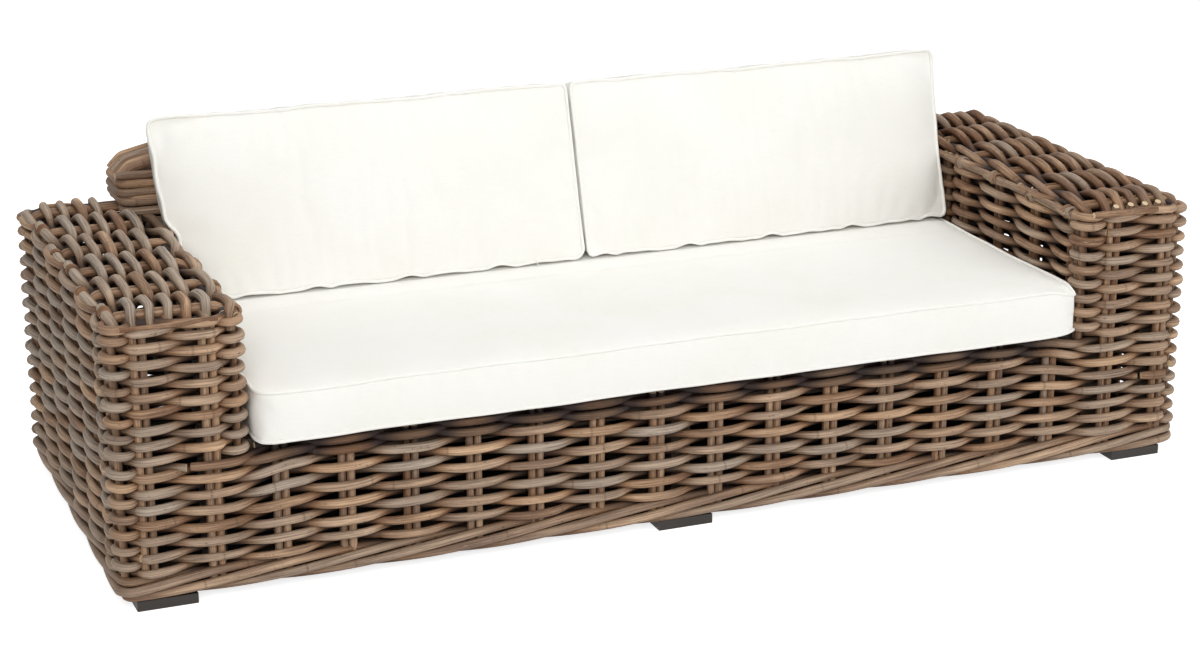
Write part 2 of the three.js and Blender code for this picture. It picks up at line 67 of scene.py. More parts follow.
MM = 0.001
UP = np.array([0.0, 0.0, 1.0])

# The frame's own sizes
side_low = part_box("left_side_weave")[0]
arm_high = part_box("left_arm_top_weave")[1]
band_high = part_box("back_top_weave")[1]
back_low, back_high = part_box("back_front_weave")
seat_low, seat_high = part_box("seat_cushion_cover")
HALF_WIDTH, HALF_DEPTH, BASE = -side_low[0], -side_low[1], side_low[2]
ARM_INNER, ARM_TOP = -arm_high[0], arm_high[2]
BACK_END, BACK_TOP = band_high[0], band_high[2]
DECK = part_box("front_weave")[1][2]
SHOULDER_BASE = ARM_TOP + 20 * MM
SHOULDER_RUN = 260 * MM

# Rattan
WEAVER = 9.1 * MM  # radius of a weaving strand
COLUMN = 9.6 * MM  # radius of an arm's lengthwise strand
STAKE = 8.0 * MM  # radius of a stake
SKIN = 24.5 * MM  # from the outer envelope to the plane of the stakes
SWING = 15.6 * MM  # how far a weaver's middle swings from that plane
SLIM = 0.14  # share of its radius that a strand loses where it is pressed between two others
RISE = 17.0 * MM  # how far a column's strand climbs before it dives, to clear the one that comes up
ELBOW = 9 * MM  # how far the left arm's columns bend aside where they dive
SQUARE, ELBOW_SQUARE = 1.0, 2.2  # how long a strand stays in front of a pair before it dives
CLIMB, DIVE = -0.6, 0.62  # where a strand starts to climb and to dive, in bays from the pair that it passes
LAP = 0.12  # how far a strand runs on behind a pair where the next one takes over, in bays
CUT = 0.6  # the same where its cut end shows
CUT_SHARE = 0.12  # share of the strands whose cut end shows in front
PAIR_GAP = 8.5 * MM  # from the middle of a pair to each of its stakes
BEHIND = 21 * MM  # from a front corner back to its pair of stakes
CORNER = 15 * MM  # corner radius in the stakes' plane
CORNER_SHARE = 0.66  # share of the way from a corner to the next pair where the strands cross
BEND = 26 * MM  # how round the stakes bend over the top edges
DARKEST_DEPTH, PALEST_DEPTH = -11 * MM, 22 * MM  # from painted shade to a pale outer face that is partly bleaching and partly painted light, as distances from the plane of the stakes
SHADE = 24 * MM  # how much deeper the strands right below the seat cushion are painted, as the cushion's painted shadow
DARKER = 6 * MM  # the same for the right arm's inner wall and top
STEP = 10 * MM  # between a rod's rings
SIDES = 10
LEAN = (back_high[1] - 2 * SKIN - back_low[1]) / (back_high[2] - back_low[2])

# Planes of the stakes
OUT_X, OUT_Y = HALF_WIDTH - SKIN, HALF_DEPTH - SKIN
IN_X, TOP_Z = ARM_INNER + SKIN, ARM_TOP - SKIN

# Rows
ROW_PITCH = 31.2 * MM
FIRST_ROW = BASE + 56 * MM
BASE_ROWS, ROWS = 7, 16
LIFTS = [4, 3, 7, 12, 17, 22, 17]  # how far the base rows rise below the seat, in millimetres
PAIR_SHARE = 0.5  # from one strand of a row up to the other, as a share of the pitch
LAST_SHARES = {BASE_ROWS - 1: 0.32, ROWS - 1: 0.2}  # the same where a row is the last below an edge
BACK_ROWS, BACK_PITCH, BACK_DROP = 4, 28.4 * MM, 18 * MM  # the first starts that far below the arms' tops

# Places of the stakes, as lengths from the middle or the front
front_pairs = [-HALF_WIDTH + (69 + 127.2 * k + (12 if k > 15 else 0)) * MM for k in range(18)]
side_pairs = [-HALF_DEPTH + (75 + 151.2 * k) * MM for k in range(6)]
arm_pairs = [x for x in front_pairs if abs(x) > ARM_INNER]
seat_pairs = [x for x in front_pairs if abs(x) < ARM_INNER]
inner_pairs = side_pairs[:4]
LAST_INNER = 160 * MM  # the inner wall's pair beside the back cushion

# Cushions
CELL = 11 * MM
FRAMES = 20  # of the cloth
PIPING = 3.7 * MM  # radius of the piping
CUSHION_GAP = 0.3 * MM
SEAT_BOXING = 104 * MM
BACK_FOOT = seat_high[2] + CUSHION_GAP
BACK_RISE = 367 * MM
REAR_FALL = 35 * MM  # how far a back cushion's rear top seam lies below the front one
FOOT_THICKNESS, TOP_THICKNESS = 145 * MM, 122 * MM
# Each back cushion's side, how far its outer top corner stands out in front and behind, its left and right
# corner radii, how far its front edge swells over the arm, and its outer edge's waves
BACKS = {
    "left": (-1, (16 * MM, 12 * MM), (22 * MM, 14 * MM), 25 * MM, 3.4 * MM),
    "right": (1, (8 * MM, 8 * MM), (14 * MM, 14 * MM), 0.0, 1.0 * MM),
}
THREAD_X = -110 * MM
ZIP_WIRE = 0.55 * MM  # radius of the tape's ribs and the teeth
TOOTH_PITCH = 2.8 * MM

# Setting
THREADS = 240  # of the canvas, in waves
FLOOR_GLOW = 0.76
WORLD_LEVEL = 0.3
SEEN_UNDER = 72 * MM  # how far in the camera sees the floor under the front and left walls
FLOOR_HALF = 7.0
LAMPS = (
    ("key", (-2.2, -4.6, 3.2), 2.6, 135),
    ("fill", (3.2, -3.8, 2.2), 2.6, 71),
    ("top", (0.2, 0.2, 4.2), 3.0, 67),
)
LIT_POINT = (0, 0, 0.35)
CAMERA_PLACE = (-1.967, -4.89, 1.998)
CAMERA_TURN = (21.796, -17.973, -0.108)  # yaw, pitch and roll, in degrees
CAMERA_LENS = 78.459


def back_face(z):
    """Where the leaning front face of the back is at height z."""
    return back_low[1] + LEAN * (z - back_low[2])


def quarter(share):
    """Height of a quarter circle at a share of its run."""
    return math.sqrt(max(0.0, 1 - share * share))


def shoulder(x):
    """Height of the back's top edge at x."""
    run = max(0.0, abs(x) - (BACK_END - SHOULDER_RUN)) / SHOULDER_RUN
    return SHOULDER_BASE + (BACK_TOP - SHOULDER_BASE) * quarter(run)


def back_end(z):
    """How far the back reaches from the middle at height z."""
    rise = max(0.0, z - SHOULDER_BASE) / (BACK_TOP - SHOULDER_BASE)
    return BACK_END - SHOULDER_RUN * (1 - quarter(rise))


def put(name, data):
    """Adds an object to the scene."""
    made = bpy.data.objects.new(name, data)
    bpy.context.scene.collection.objects.link(made)
    return made


# Lines and rods


def unit(rows):
    return rows / np.maximum(np.linalg.norm(rows, axis=-1, keepdims=True), 1e-12)


def layers(*values):
    """Numbers and arrays as the last axis of one array."""
    return np.stack(np.broadcast_arrays(*values), axis=-1)


def smooth(share):
    """0 to 1 with a soft start and end."""
    share = np.clip(share, 0, 1)
    return share * share * (3 - 2 * share)


def rounded(points, radius, closed=False):
    """A polyline with each corner replaced by an arc."""
    points = np.asarray(points, float)
    count, out = len(points), []
    for i, point in enumerate(points):
        before = unit(point - points[i - 1])
        after = unit(points[(i + 1) % count] - point)
        turn = math.acos(max(-1.0, min(1.0, float(before @ after))))
        if turn < 1e-4 or (not closed and i in (0, count - 1)):
            out.append(point)
            continue
        start = point - before * radius * math.tan(turn / 2)
        inward = unit(after - before * float(before @ after))
        for angle in np.linspace(0, turn, 9):
            out.append(start + radius * (before * math.sin(angle) + inward * (1 - math.cos(angle))))
    return np.array(out)


class Line:
    """A line through points, measured along its length."""

    def __init__(self, points, closed=False):
        points = np.asarray(points, float)
        if closed:
            points = np.vstack([points, points[:1]])
        steps = np.linalg.norm(np.diff(points, axis=0), axis=1)
        keep = steps > 1e-7
        self.points = np.vstack([points[:1], points[1:][keep]])
        self.reach = np.append(0.0, np.cumsum(steps[keep]))
        self.length = self.reach[-1]
        self.closed = closed

    def at(self, s):
        s = np.mod(s, self.length) if self.closed else s
        return np.stack([np.interp(s, self.reach, column) for column in self.points.T], axis=1)

    def tangent(self, s, reach=3 * MM):
        return unit(self.at(s + reach) - self.at(s - reach))

    def nearest(self, point):
        """Length along the line to the place nearest a point, in plan or in space."""
        s = np.arange(0, self.length, MM)
        gap = np.linalg.norm(self.at(s)[:, : len(point)] - np.asarray(point), axis=1)
        return float(s[gap.argmin()])


def samples(line, start, end):
    """Lengths along a line, close enough together at its bends to keep them round."""
    s = np.linspace(start, end, max(6, int((end - start) / STEP)))
    laps = range(math.floor(start / line.length), math.ceil(end / line.length) + 1) if line.closed else (0,)
    bends = np.concatenate([line.reach + lap * line.length for lap in laps])
    s = np.union1d(s, bends[(bends > start) & (bends < end)])
    return s[np.append(True, np.diff(s) > 1.5 * MM)]


class Rods:
    """Collects round rods and builds them as one mesh object."""

    def __init__(self):
        self.verts, self.coords, self.tones = [], [], []
        self.quads, self.tris, self.count = [], [], 0

    def add(self, centres, radius, up, tone, outward=None, depth=0.0, sides=SIDES, closed=False):
        """A rod along centres. up is a direction that the rod never runs along.

        Where outward is given, the rod gets painted shade where it lies deep in its wall and on its inward
        side. It is paler towards that side, partly bleaching and partly painted light.
        """
        centres = np.asarray(centres, float)
        rings = len(centres)
        if closed:
            tangent = unit(np.roll(centres, -1, 0) - np.roll(centres, 1, 0))
        else:
            tangent = unit(np.gradient(centres, axis=0))
        along_up = unit(up - tangent * (tangent @ np.asarray(up, float))[:, None])
        across = np.cross(along_up, tangent)
        radius = np.broadcast_to(radius, rings).astype(float)
        width = radius.copy()
        if not closed:
            width[[0, -1]] *= 0.9
        angle = np.linspace(0, 2 * math.pi, sides, endpoint=False)
        cos, sin = np.cos(angle), np.sin(angle)
        ring = across[:, None, :] * cos[None, :, None] + along_up[:, None, :] * sin[None, :, None]
        verts = centres[:, None, :] + width[:, None, None] * ring
        run = np.append(0, np.cumsum(np.linalg.norm(np.diff(centres, axis=0), axis=1)))
        run = run + random.uniform(0, 40)
        coords = layers(run[:, None], radius[:, None] * cos, radius[:, None] * sin)
        shade_and_bleach = np.full((rings, sides), 0.8)
        if outward is not None:
            facing = (ring * np.broadcast_to(outward, (rings, 3))[:, None, :]).sum(axis=2)
            place = np.broadcast_to(depth, rings)[:, None] + radius[:, None] * facing
            shade_and_bleach = smooth((place - DARKEST_DEPTH) / (PALEST_DEPTH - DARKEST_DEPTH))
        tones = layers(*tone, shade_and_bleach, 0.0)
        grid = self.count + np.arange(rings * sides).reshape(rings, sides)
        near, far = (grid, np.roll(grid, -1, 0)) if closed else (grid[:-1], grid[1:])
        quads = np.stack([near, np.roll(near, -1, 1), np.roll(far, -1, 1), far], axis=-1)
        self.quads.append(quads.reshape(-1, 4))
        self.keep(verts.reshape(-1, 3), coords.reshape(-1, 3), tones.reshape(-1, 4))
        if not closed:
            self.cap(verts[0], centres[0] - tangent[0] * radius[0] * 0.15, coords[0], tone, flip=True)
            self.cap(verts[-1], centres[-1] + tangent[-1] * radius[-1] * 0.15, coords[-1], tone, flip=False)

    def cap(self, ring, middle, coords, tone, flip):
        """The cut end of a rod, with its own points so that its edge stays crisp."""
        sides = len(ring)
        rim = self.count + np.arange(sides)
        ahead = np.roll(rim, -1)
        first, second = (ahead, rim) if flip else (rim, ahead)
        self.tris.append(np.stack([first, second, np.full(sides, self.count + sides)], axis=1))
        coords = np.vstack([coords, coords.mean(axis=0)])
        self.keep(np.vstack([ring, middle]), coords, np.full((sides + 1, 4), [*tone, 1.0, 1.0]))

    def keep(self, verts, coords, tones):
        self.verts.append(verts)
        self.coords.append(coords)
        self.tones.append(tones)
        self.count += len(verts)

    def build(self, name, replaced=(), body="frame", slot="rattan", finish=None):
        mesh = bpy.data.meshes.new(name)
        quads = np.vstack(self.quads)
        tris = np.vstack(self.tris) if self.tris else np.empty((0, 3), int)
        corners = np.concatenate([quads.ravel(), tris.ravel()])
        starts = np.concatenate([np.arange(len(quads)) * 4, len(quads) * 4 + np.arange(len(tris)) * 3])
        mesh.vertices.add(self.count)
        mesh.vertices.foreach_set("co", np.vstack(self.verts).ravel())
        mesh.loops.add(len(corners))
        mesh.loops.foreach_set("vertex_index", corners.astype(np.int32))
        mesh.polygons.add(len(starts))
        mesh.polygons.foreach_set("loop_start", starts.astype(np.int32))
        mesh.update(calc_edges=True)
        rod = mesh.attributes.new("rod", "FLOAT_VECTOR", "POINT")
        rod.data.foreach_set("vector", np.vstack(self.coords).ravel())
        tone = mesh.attributes.new("tone", "FLOAT_COLOR", "POINT")
        tone.data.foreach_set("color", np.vstack(self.tones).ravel())
        mesh.shade_smooth()
        mesh.materials.append(materials[finish or slot])
        piece = put(name, mesh)
        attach(piece, body)
        if replaced:
            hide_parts(*replaced)


def strand_tone(light=0.5, grey=0.45):
    """How light and how grey one strand is, near the given values."""
    near = ((light, 0.2), (grey, 0.3))
    return tuple(float(np.clip(random.normal(value, spread), 0, 1)) for value, spread in near)


def drift(s, size, wave):
    """Slow random wandering along a strand."""
    total = np.zeros_like(s)
    for k in (1.0, 2.3, 4.1):
        total += np.sin(2 * math.pi * k * s / wave + random.uniform(0, 2 * math.pi)) / k
    return size * total / 1.6


def bent_rod(rods, points, bend, radius, tone):
    """A slightly uneven rod through corners."""
    line = Line(rounded(points, bend))
    s = samples(line, 0, line.length)
    away = layers(*(drift(s, 1.2 * MM, 0.5) for _ in range(3)))
    rods.add(line.at(s) + away, radius, (0.3, 0.2, 0.93), tone)


# Weaving


class Row:
    """A line that two strands twist round, with a pair of stakes at each of its places.

    The outward side lies across the axis and the line, and leans by the given vector.
    """

    def __init__(self, line, places, across, axis, reach=8 * MM, leaning=(0, 0, 0)):
        places = np.sort(places)
        self.line, self.across, self.axis, self.reach, self.leaning = line, across, axis, reach, leaning
        self.lift, self.first, self.count = 0.0, 0, len(places)
        if line.closed:
            laps = (-1, 0, 1, 2)
            self.places = np.concatenate([places + t * line.length for t in laps])
            self.phases = np.concatenate([np.arange(self.count) + t * self.count for t in laps])
            self.widen()
        else:
            more, gap = 6, places[1] - places[0]
            lead, tail = np.arange(more, 0, -1), np.arange(1, more + 1)
            self.places = np.concatenate([places[0] - lead * gap, places, places[-1] + tail * gap])
            self.phases = np.arange(-more, self.count + more)

    def widen(self):
        """Moves the crossings beside a corner away from it."""
        ahead = self.line.tangent(self.places, BEHIND + 6 * MM)
        turned = (np.abs(ahead[:, :2]) > 0.1).sum(axis=1) > 1
        extra = []
        for k in np.flatnonzero(turned[1:-1]) + 1:
            for step in (-1, 1):
                run = self.places[k + step] - self.places[k]
                extra.append((self.places[k] + CORNER_SHARE * run, self.phases[k] + step / 2))
        table = np.array(sorted(list(zip(self.places, self.phases)) + extra))
        self.places, self.phases = table[:, 0], table[:, 1]

    def outward(self, s):
        return unit(np.cross(self.axis, self.line.tangent(s, self.reach)) + self.leaning)

    def phase(self, s):
        return np.interp(s, self.places, self.phases)

    def place(self, phase):
        return np.interp(phase, self.phases, self.places)


def climb(phase):
    """A strand's move across its row: up where it lies in front, down behind the next pair."""
    phase = np.mod(phase - CLIMB, 2) + CLIMB
    share = np.clip((phase - CLIMB) / (DIVE - CLIMB), 0, 1)
    return (share + smooth(share)) / 2 * (1 - smooth((phase - 0.72) / 0.6))


def under_seat(points):
    """1 on the front wall below the cushion, 0 on the arms and the other walls."""
    return smooth((ARM_INNER + 40 * MM - np.abs(points[:, 0])) / (120 * MM)) * (points[:, 1] < -0.3)


def shaded(points):
    """How much deeper a strand is painted: the seat cushion's painted shadow below it, and a darker right
    arm.
    """
    x, y, z = points.T
    below = under_seat(points) * smooth((z - DECK + 50 * MM) / (28 * MM))
    behind = smooth((y + HALF_DEPTH - 40 * MM) / (60 * MM))
    darker = smooth((x - ARM_INNER + 40 * MM) / (30 * MM)) * behind * (x < OUT_X - 20 * MM)
    return SHADE * below + DARKER * darker * (z > DECK)


def twist(rods, row, start, end, parity, tone, offsets, radius=WEAVER, rise=0.0, elbow=0.0, calm=0.0):
    """One of a row's two strands, from one length along it to another. The two swap sides in each bay.

    offsets are the strands' places across the row. A strand lies still near its ends if calm is set.
    """
    s = samples(row.line, start, end)
    phase = row.phase(s) + parity
    square = ELBOW_SQUARE if elbow else SQUARE
    swing = np.cos(math.pi * phase)
    out = SWING * np.tanh(square * swing) / math.tanh(square)
    shift = offsets[(row.first + parity) % 2] + rise * climb(phase)
    shift = shift + elbow * np.exp(-(((np.mod(phase, 2) - DIVE) / 0.16) ** 2))
    if calm:
        ease = smooth(np.minimum(s - start, end - s) / calm - 0.3)
        out, shift = out * ease, shift * ease
    out += drift(s, 1.1 * MM, 0.45)
    shift += drift(s, 1.9 * MM, 0.5)
    outward = row.outward(s)
    centres = row.line.at(s)
    shift += row.lift * under_seat(centres)
    centres = centres + outward * out[:, None] + row.across * shift[:, None]
    slim = 1 - SLIM * (1 - np.abs(swing)) ** 2
    width = (radius * random.uniform(0.88, 1.08) + drift(s, 0.5 * MM, 0.3)) * slim
    # Painted shade: strands darken where they dip into the weave, and below the seat cushion as its painted
    # shadow.
    rods.add(centres, width, row.across, tone, outward, out - shaded(centres))
    return centres, out


def weathered(point):
    """How light and how grey the strands near a place are: greyer on the left end wall and darker on the
    right arm's inner wall.
    """
    x, y = point[0], point[1]
    if x < -HALF_WIDTH + 40 * MM:
        return 0.42, 0.6
    if abs(x - ARM_INNER) < 50 * MM and y > -HALF_DEPTH + 60 * MM:
        return 0.1, 0.22
    return 0.52, 0.36


def twine(rods, row, offsets):
    """Both strands of a closed row, in lengths that change behind a pair or, where cut, in a bay."""
    for parity in (0, 1):
        phase = first = 1 - parity
        begin = phase - LAP
        while phase < first + row.count:
            reach = min(phase + 2 * int(random.integers(2, 6)), first + row.count)
            cut = reach < first + row.count and random.uniform() < CUT_SHARE
            middle = row.line.at(np.array([row.place((phase + reach) / 2)]))[0]
            tone = strand_tone(*weathered(middle))
            end = row.place(reach + (CUT if cut else LAP))
            twist(rods, row, row.place(begin), end, parity, tone, offsets)
            begin = reach + (CUT + 0.06 if cut else -LAP)
            phase = reach


def plan_row(left_corners, z, stakes):
    """A closed level row through corners in plan and their mirror images."""
    flat = rounded(left_corners + [(-x, y) for x, y in left_corners[::-1]], CORNER, closed=True)
    line = Line(layers(*flat.T, z), closed=True)
    row = Row(line, [line.nearest(place) for place in stakes], UP, -UP)
    # All rows begin alike at the front wall's first pair.
    row.first = round(float(row.phase(line.nearest((front_pairs[0], -OUT_Y))))) % 2
    return row


def base_row(z):
    stakes = [(x, y) for x in front_pairs for y in (-OUT_Y, OUT_Y)]
    stakes += [(x, y) for x in (-OUT_X, OUT_X) for y in side_pairs + [BEHIND - OUT_Y, OUT_Y]]
    return plan_row([(-OUT_X, OUT_Y), (-OUT_X, -OUT_Y)], z, stakes)


def arm_row(z):
    """Round both arms, along the front of the back and across the rear."""
    back = back_face(z) + SKIN
    stakes = [(x, OUT_Y) for x in front_pairs] + [(x, -OUT_Y) for x in arm_pairs]
    stakes += [(x, y) for x in (-OUT_X, OUT_X) for y in side_pairs + [OUT_Y]]
    stakes += [(x, y) for x in (-IN_X, IN_X) for y in inner_pairs + [LAST_INNER]]
    stakes += [(x, BEHIND - OUT_Y) for x in (-OUT_X, -IN_X, IN_X, OUT_X)]
    stakes += [(x, back) for x in seat_pairs]
    return plan_row([(-OUT_X, OUT_Y), (-OUT_X, -OUT_Y), (-IN_X, -OUT_Y), (-IN_X, back)], z, stakes)


def back_row(z):
    """Round the back, above the arms."""
    end = back_end(z + WEAVER) - SKIN
    front = back_face(z) + SKIN
    stakes = [(x, y) for x in front_pairs if abs(x) < end - 30 * MM for y in (front, OUT_Y)]
    return plan_row([(-end, OUT_Y), (-end, front)], z, stakes)


def weave_rows():
    """Level rows round the base, round the arms, and round the back above them."""
    base, low, high, back = Rods(), Rods(), Rods(), Rods()
    for k in range(ROWS):
        z = FIRST_ROW + k * ROW_PITCH
        if k < BASE_ROWS:
            rods, row = base, base_row(z)
            row.lift = LIFTS[k] * MM
        else:
            rods, row = low if k < (BASE_ROWS + ROWS) / 2 else high, arm_row(z)
        twine(rods, row, (0.0, LAST_SHARES.get(k, PAIR_SHARE) * ROW_PITCH))
    for k in range(BACK_ROWS):
        twine(back, back_row(ARM_TOP + k * BACK_PITCH - BACK_DROP), (0.0, PAIR_SHARE * BACK_PITCH))
    base.build("base_weavers", ("front_weave",))
    low.build("arm_weavers_lower", ("left_arm_inner_weave", "right_arm_inner_weave", "back_front_weave"))
    high.build("arm_weavers_upper", ("left_arm_front_weave", "right_arm_front_weave", "rear_weave"))
    back.build("back_weavers")


def bottom_border():
    """Strands that wind slowly round the foot of the stakes."""
    rods, row = Rods(), base_row(BASE + 26 * MM)
    turn, lift, depth, strands = 0.95, 17.5 * MM, 14 * MM, 5
    turns = round(row.line.length / turn)
    for k in range(strands):
        s = samples(row.line, 0, row.line.length)
        angle = 2 * math.pi * (turns * s / row.line.length + k / strands)
        out = depth * np.cos(angle) + drift(s, 0.8 * MM, 0.7)
        shift = lift * np.sin(angle) + drift(s, 1.0 * MM, 0.7)
        outward = row.outward(s)
        centres = row.line.at(s) + outward * out[:, None] + UP * shift[:, None]
        tone = (0.25 + 0.16 * k, random.uniform(0.2, 0.7))
        # Painted shade, as if each strand lay 4 mm deeper, darkens the gaps between the border's strands.
        rods.add(centres, WEAVER * random.uniform(0.9, 1.02), UP, tone, outward, out - 4 * MM)
    rods.build("bottom_border")


# Stakes


def stake_pair(rods, points, side, away):
    """Two rods side by side through corners. away is the outward side of their first stretch."""
    side = np.asarray(side, float)
    for sign in (-1, 1):
        line = Line(rounded(points, BEND))
        s = samples(line, 0, line.length)
        outward = np.cross(line.tangent(s), side)
        outward *= np.sign(outward[0] @ np.asarray(away, float))
        aside = side * (sign * PAIR_GAP + drift(s, 0.6 * MM, 0.5))[:, None]
        width = STAKE * random.uniform(0.93, 1.06)
        centres = line.at(s) + aside
        # Stakes are painted as lying 5 mm out, lighter than their own plane, less the cushion's painted
        # shadow.
        rods.add(centres, width, side, strand_tone(0.62, 0.12), outward, 5 * MM - shaded(centres))


def wall_stakes():
    """Upright pairs in the front, the rear and the back, then those that bend over the arms."""
    rods = Rods()
    foot, low = BASE + 12 * MM, DECK - 20 * MM
    across_x, across_y = (1, 0, 0), (0, 1, 0)
    for x in seat_pairs:
        stake_pair(rods, [(x, -OUT_Y, foot), (x, -OUT_Y, DECK - 6 * MM)], across_x, (0, -1, 0))
        top = shoulder(x) - SKIN
        front = [(x, back_face(z) + SKIN, z) for z in (top, DECK)]
        stake_pair(rods, [(x, OUT_Y, foot), (x, OUT_Y, top)] + front, across_x, (0, 1, 0))
    for x in arm_pairs:
        for y in (-OUT_Y, OUT_Y):
            stake_pair(rods, [(x, y, foot), (x, y, ARM_TOP - 38 * MM)], across_x, (0, y, 0))
    corner_stakes(rods, foot, low)
    rods.build("wall_stakes")
    rods = Rods()
    for sign in (-1, 1):
        for y in side_pairs:
            points = [(sign * OUT_X, y, foot), (sign * OUT_X, y, TOP_Z)]
            if y in inner_pairs:
                points += [(sign * IN_X, y, TOP_Z), (sign * IN_X, y, low)]
            else:
                points.append((sign * (BACK_END - SKIN), y, TOP_Z))
            stake_pair(rods, points, across_y, (sign, 0, 0))
        ends = [(sign * IN_X, LAST_INNER, z) for z in (TOP_Z - 8 * MM, low)]
        stake_pair(rods, ends, across_y, (-sign, 0, 0))
    rods.build("arm_stakes", ("left_side_weave", "right_side_weave"))


def corner_stakes(rods, foot, inner_foot):
    """A pair of stakes in each outer corner and in each arm's inner front corner."""
    for sign in (-1, 1):
        for x, y, low in ((OUT_X, -OUT_Y, foot), (OUT_X, OUT_Y, foot), (IN_X, -OUT_Y, inner_foot)):
            aside = -sign if x == IN_X else sign
            if y < 0:
                facing = np.array([aside, 0.0, 0.0])
                place = np.array([sign * x, y + BEHIND, 0.0])
            else:
                facing = np.array([aside, 1.0, 0.0]) / math.sqrt(2)
                place = np.array([sign * x, y, 0.0]) - facing * CORNER * (math.sqrt(2) - 1)
            ends = [place + UP * low, place + UP * (ARM_TOP - 40 * MM)]
            stake_pair(rods, ends, (facing[1], -facing[0], 0), facing)


# Lengthwise strands over the tops


def arm_columns():
    """Lengthwise strands over each arm, and ties on the left edge."""
    edge = 7.6 * MM  # from a corner of the stakes' plane to the bend of the stakes
    ties = Rods()
    for side, sign, tones in (("left", -1, (0.44, 0.6)), ("right", 1, (0.06, 0.22))):
        rods = Rods()
        for inset in (62, 96, 130, 164, 198):
            arm_column(rods, sign, HALF_WIDTH - inset * MM, TOP_Z, (0, 1), tones)
        outer = arm_column(rods, sign, OUT_X - edge, TOP_Z - edge, (0.7, 0.7), tones)
        arm_column(rods, sign, IN_X + edge, TOP_Z - edge, (-0.7, 0.7), tones)
        rods.build(side + "_arm_columns", (side + "_arm_top_weave",))
        if sign < 0:
            for y in side_pairs[:5]:
                lash(ties, *outermost(outer, y + random.uniform(-14, 20) * MM))
    ties.build("peel_lashings", finish="peel")


def arm_column(rods, sign, x, z, facing, tones):
    """One strand pair along an arm. facing is its outward direction: away from the middle, and up."""
    rear = OUT_Y + 6 * MM if x > BACK_END else back_face(ARM_TOP) + SKIN
    front, drop = -OUT_Y + 2 * MM, 24 * MM
    points = [(sign * x, y, z - fall) for y, fall in ((front, drop), (front, 0), (rear, 0), (rear, drop))]
    line = Line(rounded(points, 22 * MM))
    aside, above = facing
    places = [line.nearest((sign * x, y, z)) for y in side_pairs if y < rear - 20 * MM]
    across = np.array([sign * above, 0.0, -aside])
    row = Row(line, places, across, (above, 0, 0), leaning=(sign * aside, 0, 0))
    step = (0.0 if sign > 0 else 8.4 * MM) * (0.6 if aside else 1.0)
    style = {"rise": RISE} if sign > 0 else {"elbow": ELBOW}
    strands = []
    for parity in (0, 1):
        tone = strand_tone(*tones)
        strand = twist(rods, row, 0, line.length, parity, tone, (-step, step), COLUMN, calm=50 * MM, **style)
        strands.append(strand)
    return strands


def outermost(strands, y):
    """Place and direction of whichever strand lies further out where the column passes y."""
    best = None
    for centres, out in strands:
        near = int(np.abs(centres[:, 1] - y).argmin())
        if best is None or out[near] > best[2]:
            best = centres[near], unit(centres[near + 1] - centres[near - 1]), out[near]
    return best[:2]


def back_columns():
    """Lengthwise strands over the top of the back, which tuck in where its shoulders fall away."""
    rods = Rods()
    front = back_face(BACK_TOP) + SKIN + 2 * MM
    columns, last = 4, BACK_END - 62 * MM
    for k in range(columns):
        y = front + (OUT_Y - front) * (k + 0.5) / columns
        ends = []
        for end in (last, last - 60 * MM):
            half = [(x, shoulder(x) - SKIN) for x in np.linspace(0, end, 40)]
            ends.append(half + [(end + 16 * MM, half[-1][1] - 22 * MM)])
        line = Line([(-x, y, z) for x, z in ends[0][::-1]] + [(x, y, z) for x, z in ends[1][1:]])
        places = [line.nearest((x, y, shoulder(x) - SKIN)) for x in front_pairs if abs(x) < last]
        row = Row(line, places, np.array([0.0, -1.0, 0.0]), (0, -1, 0), 20 * MM)
        for parity in (0, 1):
            tone = strand_tone(0.42, 0.4)
            twist(rods, row, 0, line.length, parity, tone, (0.0, 0.0), rise=RISE, calm=40 * MM)
    rods.build("back_columns", ("back_top_weave",))


def back_wraps():
    """Strands that go round the back's ends, and those that run down over its left shoulder."""
    rods = Rods()
    rear, top = OUT_Y + 10 * MM, back_face(BACK_TOP)
    for sign, insets in ((-1, (12, 10, 12, 2)), (1, (12, 34, 58, 78))):
        for k, inset in enumerate(insets):
            z = ARM_TOP + (3 + 17.8 * k) * MM
            end, face = BACK_END - inset * MM, back_face(z) + 10 * MM
            start = end - random.uniform(130, 180) * MM
            corners = [(start, face), (end, face)]
            if k < 3:
                corners += [(end, rear), (start, rear)]
            points = [(sign * x, y, z) for x, y in corners]
            bent_rod(rods, points, 20 * MM, WEAVER, strand_tone(0.42, 0.3))
        for k in range(5 if sign < 0 else 0):
            y = top + 12 * MM + k / 4 * (rear - 12 * MM - top)
            profile = ((16, 46), (40, 70), (112, 86), (240, 84))
            points = [(sign * (BACK_END - x * MM), y, ARM_TOP + z * MM - 0.5 * MM * k) for x, z in profile]
            bent_rod(rods, points, 24 * MM, 9.4 * MM, strand_tone(0.4, 0.45))
    rods.build("back_end_wraps")


# Edges


